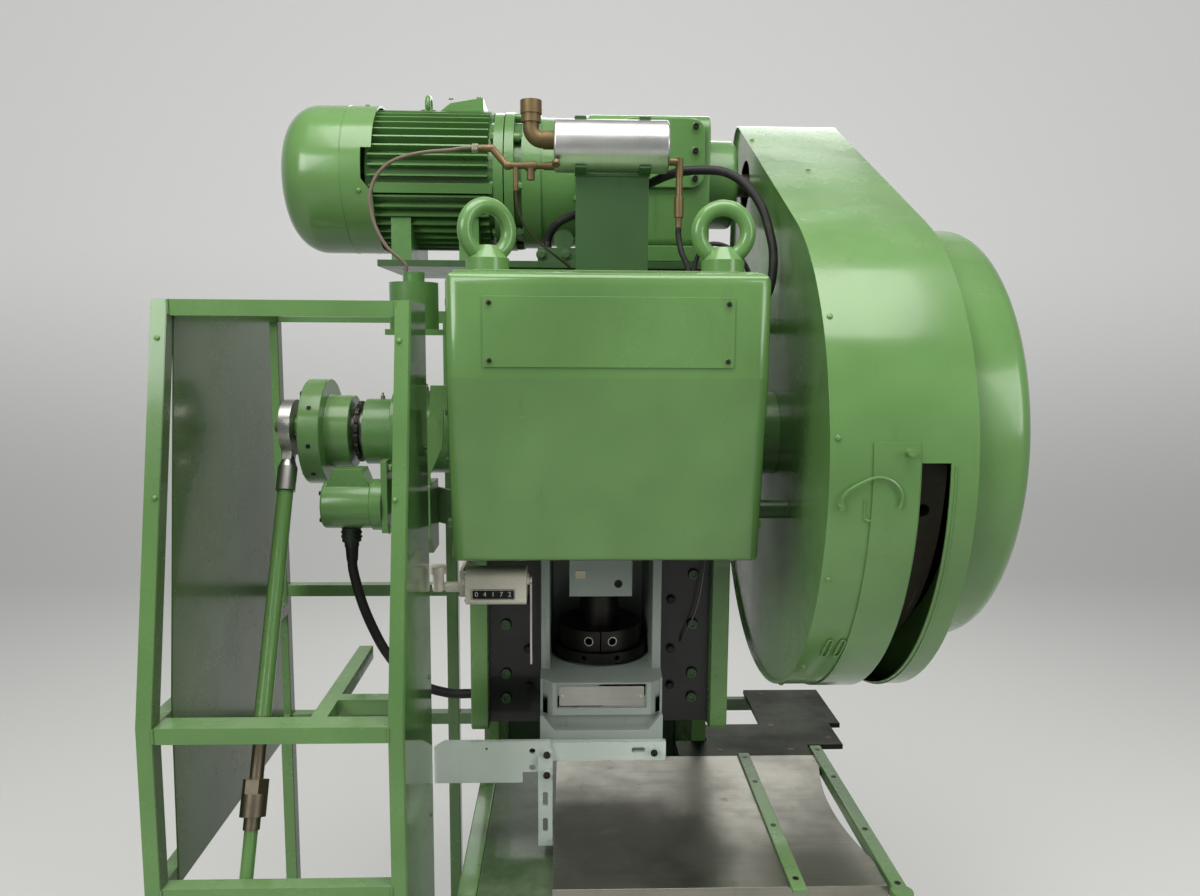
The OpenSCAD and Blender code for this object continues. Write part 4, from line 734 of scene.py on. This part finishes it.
def tank_details():
    """Nuts on the air tube and the copper tube, and the plug under the tank's end."""
    nut = mm([(0, 0), (9, 0), (10.5, 1.5), (10.5, 12), (9, 13.5), (0, 13.5)])
    piece_of("tube_nut", turned(nut, mm((-286, -50, 2333)), (1, 0, 0), 6), "zinc", "root", bevel=0.0005)
    small = mm([(0, 0), (5, 0), (6, 1), (6, 9), (5, 10), (0, 10)])
    small_nut = turned(small, mm((-191, -50, 2243)), (0, 0, 1), 6)
    piece_of("copper_tube_nut", small_nut, "brass", "root", bevel=0.0004)
    plug = turned(mm([(0, 9), (8, 9), (9, 8), (9, 0)]), mm((-102, -103, 2296)), (0.0, -0.55, -0.83), 20)
    piece_of("tank_plug", plug, "brass", "root", bevel=0.0005)


motor_details()
gear_case_details()
tank_details()


# Cover, crown and frame
def cover_details():
    """Bolts through the cover's flanks and the bare name plate's screws."""
    parts = [hex_bolts([mm((side * PLATE_FACE, -325, z))], (side, 0, 0), 0.020, 0.009)
             for side in (-1, 1) for z in (1560, 1990)]
    piece_of("cover_flank_bolts", joined(parts), "gloss", "root", bevel=0.0008)
    plate = mm([(x, PLATE_FRONT, z) for x in (-218, 218) for z in (1882, 1986)])
    piece_of("plate_screws", round_screws(plate, (0, -1, 0), 0.0095, 0.0022), "black", "root")


def housing_details():
    """Sockets in the bearing flanges' screws and a few grease nipples."""
    for name, side in (("housing_screws_left", -1), ("housing_screws_right", 1)):
        ring = mm(around_x(side * 339, (0, CRANK_HEIGHT), 113, 6, 30))
        piece_of(name, socket_screws(ring, (side, 0, 0), 0.0235, 0.005), "gloss", "root", crease=35)
    nipple = mm([(0, 15), (2, 15), (3, 12.5), (2, 10), (2.5, 8), (5, 7), (5, 0)])
    spots = [(-400, 0, 1803), (-500, 0, 1783), (360, 0, 1803)]
    piece_of("grease_nipples", joined([turned(nipple, mm(p), (0, 0, 1), 12) for p in spots]), "zinc", "root")


def frame_details():
    """Weld beads along the frame's joints, the gibs' screws and lock nuts, and the bed's front bolts."""
    beads = [[(-PLATE_FACE, -415, 40), (-PLATE_FACE, 645, 40)],
             [(-PLATE_FACE, -134, 1484), (-PLATE_FACE, -134, 1656)],
             [(PLATE_FACE, -415, 40), (PLATE_FACE, 645, 40)],
             [(PLATE_FACE, -151, 415), (PLATE_FACE, -151, 790)],
             [(PLATE_FACE, -59, 420), (PLATE_FACE, -59, 788)],
             [(302, -120.5, 452), (428, -120.5, 452)],
             [(-PLATE_FACE, -161, 1872), (-PLATE_FACE, -161, 1936)]]
    piece_of("frame_welds", joined([weld_bead(b, 4.0, 5.5) for b in beads]), "dark", "root", crease=80)
    spots = [(side * 220, -24, z) for side in (-1, 1) for z in (1075, 1135, 1255, 1375)]
    sockets = socket_screws(mm(spots), (0, -1, 0), 0.0235, 0.005)
    piece_of("gib_screw_sockets", sockets, "dark", "root", crease=35)
    lock = mm([(side * 168, -20, z) for side in (-1, 1) for z in (1105, 1195, 1315)])
    piece_of("gib_lock_nuts", hex_bolts(lock, (0, -1, 0), 0.017, 0.009), "black", "root", bevel=0.0006)
    bed = [(x, -420, z) for x in (-215, 215) for z in (150, 650)]
    piece_of("bed_front_bolts", hex_bolts(mm(bed), (0, -1, 0), 0.030, 0.013), "dark", "root", bevel=0.001)


cover_details()
housing_details()
frame_details()


# Flywheel guard
def on_guard(x, turn, radius):
    """A place over the guard's round part: its axis plus the radius turned from straight down."""
    return np.array((x, *GUARD_AXIS)) + radius * guard_out(turn)


def guard_out(turn):
    """The way straight out of the guard's round part, at an angle from straight down."""
    a = math.radians(turn)
    return np.array((0, math.sin(a), -math.cos(a)))


def guard_details():
    """Dome screws on the band, wire staples, the catch's keeper, the slot's bead and the drum cover's rim."""
    parts = [round_screws([mm(on_guard(404, turn, GUARD_RADIUS))], guard_out(turn), 0.011, 0.004)
             for turn in (238, 262, 290, 318, 340)]
    for x, y, z in ((404.6, 348.4, 2444.0), (494, 109.9, 2325.3)):
        parts.append(round_screws([mm((x, y, z))], (0, -0.45, 0.89), 0.011, 0.004))
    piece_of("guard_band_screws", joined(parts), "gloss", "root", crease=40)
    oval = [(-5, 307.4), (-4, 306.9), (0, 306.6), (4, 306.9), (5, 307.4), (5.5, 310), (5, 312.2), (3, 312.7),
            (-2, 312.7), (-5, 312.2), (-6, 310), (-5, 307.4)]
    loops = []
    for x in (436, 461):
        line = [on_guard(x + dx - (turn - 306) * 0.5, turn, GUARD_RADIUS + 2) for dx, turn in oval]
        loops.append(swept(curve_points(mm(line), 4), 0.0021, 8))
    piece_of("guard_loops", joined(loops), "gloss", "root", crease=60)
    wire = ((456, 273.4), (456, 277.2), (462, 277.6), (538, 277.7), (541, 277.2), (541, 275.6))
    keeper = [on_guard(x, turn, GUARD_RADIUS + 0.6) for x, turn in wire]
    edge = [on_guard(617.5, turn, GUARD_RADIUS + 0.2) for turn in np.arange(267.2, 346, 2.0)]
    parts = [swept(resampled(mm(keeper), 0.002), 0.0024, 8), weld_bead(edge, 2.0, 6.0)]
    piece_of("slot_edges", joined(parts), "gloss", "root", crease=60)
    rim = []
    for turn in range(15, 375, 30):
        a = math.radians(turn)
        out = np.array((0, math.cos(a), math.sin(a)))
        rim.append(round_screws([mm((676, 0, CRANK_HEIGHT)) + out * 0.462], out, 0.012, 0.004))
    piece_of("drum_cover_screws", joined(rim), "gloss", "root", crease=40)
    lip = mm([(461.5, 0.0), (466.0, 0.4), (467.4, 3), (466.0, 5.6), (461.5, 6)])
    bead = turned(lip, mm((660.2, 0, CRANK_HEIGHT)), (1, 0, 0), 128)
    piece_of("drum_cover_bead", bead, "sheet", "root", crease=70)


guard_details()


# Slide, rod and tooling
def slide_details():
    """Rims on the clamp ring's holes, rivets on the plate, cap screws, the rod's oil hole and its tag."""
    ring_radius = 97.4
    rim = mm([(9, -6), (9, 0.6), (10.6, 0.6), (11.2, -0.6)])
    rims = []
    for turn in (-16, 16):
        out = np.array((math.sin(math.radians(turn)), -math.cos(math.radians(turn)), 0))
        rims.append(turned(rim, mm(out * ring_radius + np.array((0, 0, 1236.5))), out, 24))
    piece_of("clamp_ring_hole_rims", joined(rims), "bright", "screw", crease=50)
    rivets = mm([(x, -189, 1146) for x in (-86, 86)])
    piece_of("slide_plate_rivets", round_screws(rivets, (0, -1, 0), 0.008, 0.0022), "bright", "slide")
    caps = mm([(-119, -226.6, 1030), (-119, -236.6, 989), (114, -216.6, 1028)])
    piece_of("tool_bar_screws", socket_screws(caps, (0, -1, 0), 0.0155, 0.004), "black", "slide", crease=35)
    # The oil hole is a dark ring laid on the rod: painted shade in the hole
    oiler = mm([(0, 0.4), (6.5, 0.4), (8, 0.8), (9.2, 0.3), (9.6, -0.4)])
    piece_of("rod_oil_hole", turned(oiler, mm((40, -85, 1369)), (0, -1, 0), 24), "hole", "conrod")
    piece_of("rod_tag", grid_plate(-58, -34, 1382, 1400, -85, -86.2), "zinc", "conrod", bevel=0.0003)


def grid_plate(x0, x1, z0, z1, y0, y1):
    """A flat plate between two faces along Y, as eight corners and six faces."""
    corners = mm([(x, y, z) for y in (y0, y1) for x, z in ((x0, z0), (x1, z0), (x1, z1), (x0, z1))])
    faces = [(0, 3, 2, 1), (4, 5, 6, 7), (0, 1, 5, 4), (1, 2, 6, 5), (2, 3, 7, 6), (3, 0, 4, 7)]
    return corners, faces


slide_details()


# Feed crank, link and switch
def feed_details():
    """Tapped holes and cap screws on the disc, gland nuts, the cable's sleeve and the switch's screws."""
    disc_radius = 120
    # The tapped holes are dark rings laid on the disc: painted shade in the holes
    hole = mm([(0, 0.3), (4.2, 0.3), (5.2, 0.6), (5.8, -0.4)])
    holes = []
    for y, z in ((-103.3, 1769.0), (-107.1, 1688.3), (-81.8, 1620.4)):
        out = np.array((0, y, z - CRANK_HEIGHT))
        out /= np.linalg.norm(out)
        holes.append(turned(hole, mm(np.array((-640, 0, CRANK_HEIGHT)) + out * disc_radius), out, 18))
    piece_of("disc_tapped_holes", joined(holes), "hole", "crankshaft", crease=50)
    screws = mm(around_x(-664, (0, CRANK_HEIGHT), 100, 6))[[0, 2, 3, 4]]
    caps = socket_screws(screws, (-1, 0, 0), 0.016, 0.008)
    piece_of("disc_cap_screws", caps, "black", "crankshaft", crease=35)
    ring = mm([(21, -3), (24, -2.4), (24, 2.4), (21, 3)])
    rings = [turned(ring, mm((-559, -85, z)), (0, 0, 1), 6) for z in (1480, 1490)]
    piece_of("gland_nuts", joined(rings), "rubber", "root", bevel=0.0008)
    cone = mm([(0, -34), (11.2, -34), (12.6, -30), (14.5, 0), (15.5, 4), (0, 4)])
    sleeve = turned(cone, mm((-559, -85, 1457)), (0, 0, 1), 24)
    piece_of("cable_sleeve", sleeve, "rubber", "root", crease=50)
    cap = mm(around_x(-615, (-85, 1553), 42, 4, 45))
    piece_of("switch_cap_screws", socket_screws(cap, (-1, 0, 0), 0.010, 0.005), "black", "root", crease=35)
    heads = mm([(-468, y, z) for y, z in ((-38, 1640), (-120, 1640), (-120, 1504))])
    piece_of("switch_bracket_bolts", hex_bolts(heads, (1, 0, 0), 0.017, 0.008), "gloss", "root", bevel=0.0006)


feed_details()


# Counter and lever
def counter_details():
    """A dark window with five figures, a bright frame round it and screws at the counter's ends."""
    window = grid_plate(-276.5, -186.5, COUNTER_MIDDLE - 10, COUNTER_MIDDLE + 10, -230, -231.2)
    piece_of("counter_window", window, "hole", "root", crease=40)
    first = -0.2665
    pitch = 0.0174
    front = -0.2316
    digits = []
    for i, figure in enumerate("04172"):
        curve = bpy.data.curves.new("figure", "FONT")
        curve.body = figure
        curve.size = 0.0145
        curve.align_x = "CENTER"
        curve.align_y = "CENTER"
        curve.extrude = 0.0002
        holder = bpy.data.objects.new("figure", curve)
        bpy.context.scene.collection.objects.link(holder)
        bpy.context.view_layer.update()
        shape = holder.evaluated_get(bpy.context.evaluated_depsgraph_get()).to_mesh()
        points = np.array([v.co[:] for v in shape.vertices])
        faces = [list(f.vertices) for f in shape.polygons]
        x = points[:, 0] + first + i * pitch
        z = points[:, 1] + COUNTER_MIDDLE / 1000
        digits.append((np.stack([x, front - points[:, 2], z], -1), faces))
        bpy.data.objects.remove(holder)
        bpy.data.curves.remove(curve)
    piece_of("counter_figures", joined(digits), "ink", "root", crease=30)
    corners = ((-277, 1376.5), (-186, 1376.5), (-186, 1397.5), (-277, 1397.5), (-277, 1376.5))
    line = resampled(mm([(x, -232.4, z) for x, z in corners]), 0.003)
    piece_of("counter_window_frame", swept(line, 0.0012, 8), "bright", "root", crease=60)
    ends = mm([(-290.0, y, z) for y in (-222, -182) for z in (1372, 1428)])
    piece_of("counter_end_screws", round_screws(ends, (-1, 0, 0), 0.007, 0.003), "zinc", "root")


counter_details()


# Table and its rails
def table_details():
    """Countersunk screws in the rails and the rear plate, and bolts through the bracket."""
    sunk = mm([(0, 0.2), (5.2, 0.3), (6.4, 0.4), (6.6, -0.6)])
    wide = sunk * np.array((1.3, 1))
    spots = [(385, y, RAIL_TOP) for y in (-400, -200, 0, 130)]
    spots += [(585, y, RAIL_TOP) for y in (-420, -220, 20, 170)]
    piece_of("rail_screws", joined([turned(sunk, mm(p), (0, 0, 1), 20) for p in spots]), "black", "root")
    spots = ((330, 190), (520, 190), (640, 260), (520, 570), (660, 570), (500, 342))
    heads = [turned(wide, mm((x, y, TABLE_TOP)), (0, 0, 1), 20) for x, y in spots]
    piece_of("rear_plate_screws", joined(heads), "black", "root")
    side = [(316, y, z) for y in (-140, -72) for z in (470, 600, 730)]
    piece_of("bracket_bolts", hex_bolts(mm(side), (1, 0, 0), 0.022, 0.010), "dark", "root", bevel=0.0008)


table_details()


# Side guard
def side_guard_details():
    """Panel screws on the posts, bolts through the feet and welds at the joints."""
    front = np.array((0, -0.98, 0.19))
    parts = [round_screws([mm(p)], front, 0.010, 0.004)
             for p in ((-386.4, -398, 1915.9), (-388.9, -453.4, 1628.4), (-825.9, -397.3, 1918.5),
                       (-819.3, -452.7, 1631.7))]
    side = [(-840, y, z) for z in (1975, 1215, 910) for y in (-300, -60, 200)]
    parts += [round_screws([mm(p)], (-1, 0, 0), 0.010, 0.004) for p in side]
    side = [(-365, -250, z) for z in (1700, 1215, 910, 500)]
    parts += [round_screws([mm(p)], (1, 0, 0), 0.010, 0.004) for p in side]
    piece_of("guard_frame_screws", joined(parts), "guard", "root", crease=40)
    feet = [(x, y, 6) for x in (-848, -372) for y in (-541, 281)]
    piece_of("guard_foot_bolts", hex_bolts(mm(feet), (0, 0, 1), 0.012, 0.007, washer=False), "zinc", "root",
             bevel=0.0006)
    upright = [(x, y, z) for x in (-810.5, -394.5)
               for y, z in ((-383.5, 1962), (-530.5, 1202), (-530.5, 897), (270.5, 1962))]
    upright += [(x, -481.5, 1202) for x in (-545, -515)]
    beads = [[(x, y, z), (x, y, z + 26)] for x, y, z in upright]
    beads += [[(-301, 241, z), (-301, 269, z)] for z in (1990.5, 1278.5, 925.5)]
    piece_of("guard_welds", joined([weld_bead(b, 2.4, 4.0) for b in beads]), "gloss", "root", crease=80)


side_guard_details()


# Stage and light
WORLD_LIGHT = (0.27, 0.276, 0.285, 1)
WORLD_SEEN = (0.6, 0.6, 0.59, 1)


def make_stage():
    """A pale floor that runs up to a pale wall far behind the press."""
    bend = np.linspace(0, np.pi / 2, 13)[1:]
    y = np.concatenate([np.linspace(-7, 5, 13), 5 + 2 * np.sin(bend), np.full(6, 7.0)])
    z = np.concatenate([np.zeros(13), 2 - 2 * np.cos(bend), np.linspace(2.6, 8, 6)])
    x = np.linspace(-30, 30, 9)
    points = np.stack([np.tile(x, len(y)), np.repeat(y, len(x)), np.repeat(z, len(x))], -1)
    mesh = bpy.data.meshes.new("studio_floor")
    mesh.from_pydata(points.tolist(), [], grid_faces(len(y), len(x)).tolist())
    mesh.polygons.foreach_set("use_smooth", np.ones(len(mesh.polygons), bool))
    floor = bpy.data.objects.new("studio_floor", mesh)
    bpy.context.scene.collection.objects.link(floor)
    mesh.materials.append(plain_stage("pale floor", srgb(200, 200, 196), 0.34))


def area_light(name, at, to, size, power, tint=(1, 1, 1)):
    """A soft rectangular lamp at one place that looks at another."""
    data = bpy.data.lights.new(name, "AREA")
    data.shape = "RECTANGLE"
    data.size = size[0]
    data.size_y = size[1]
    data.energy = power
    data.color = tint
    lamp = bpy.data.objects.new(name, data)
    lamp.location = at
    lamp.rotation_mode = "QUATERNION"
    lamp.rotation_quaternion = (Vector(to) - Vector(at)).to_track_quat("-Z", "Y")
    bpy.context.scene.collection.objects.link(lamp)


def make_light():
    """Four soft lamps and an even world, which shows paler to the camera alone."""
    area_light("roof lamps", (0.1, -1.3, 5.2), (0.1, 0.2, 1.2), (3.6, 2.4), 175, (1.0, 0.99, 0.96))
    area_light("front left", (-3.2, -3.8, 3.8), (0, 0, 1.6), (2.2, 2.0), 115)
    area_light("front right", (3.6, -3.4, 3.2), (0.2, 0, 1.5), (1.6, 2.4), 62)
    area_light("back", (0.5, 4.0, 4.2), (0.1, 0.3, 1.6), (3.0, 1.6), 70)
    world = bpy.data.worlds.new("studio")
    bpy.context.scene.world = world
    world.use_nodes = True
    nodes = world.node_tree.nodes
    path = nodes.new("ShaderNodeLightPath")
    mix = nodes.new("ShaderNodeMix")
    mix.data_type = "RGBA"
    mix.inputs[6].default_value = WORLD_LIGHT
    mix.inputs[7].default_value = WORLD_SEEN
    world.node_tree.links.new(path.outputs["Is Camera Ray"], mix.inputs[0])
    world.node_tree.links.new(mix.outputs[2], nodes["Background"].inputs[0])


make_stage()
make_light()
bpy.context.scene.view_settings.view_transform = "Standard"
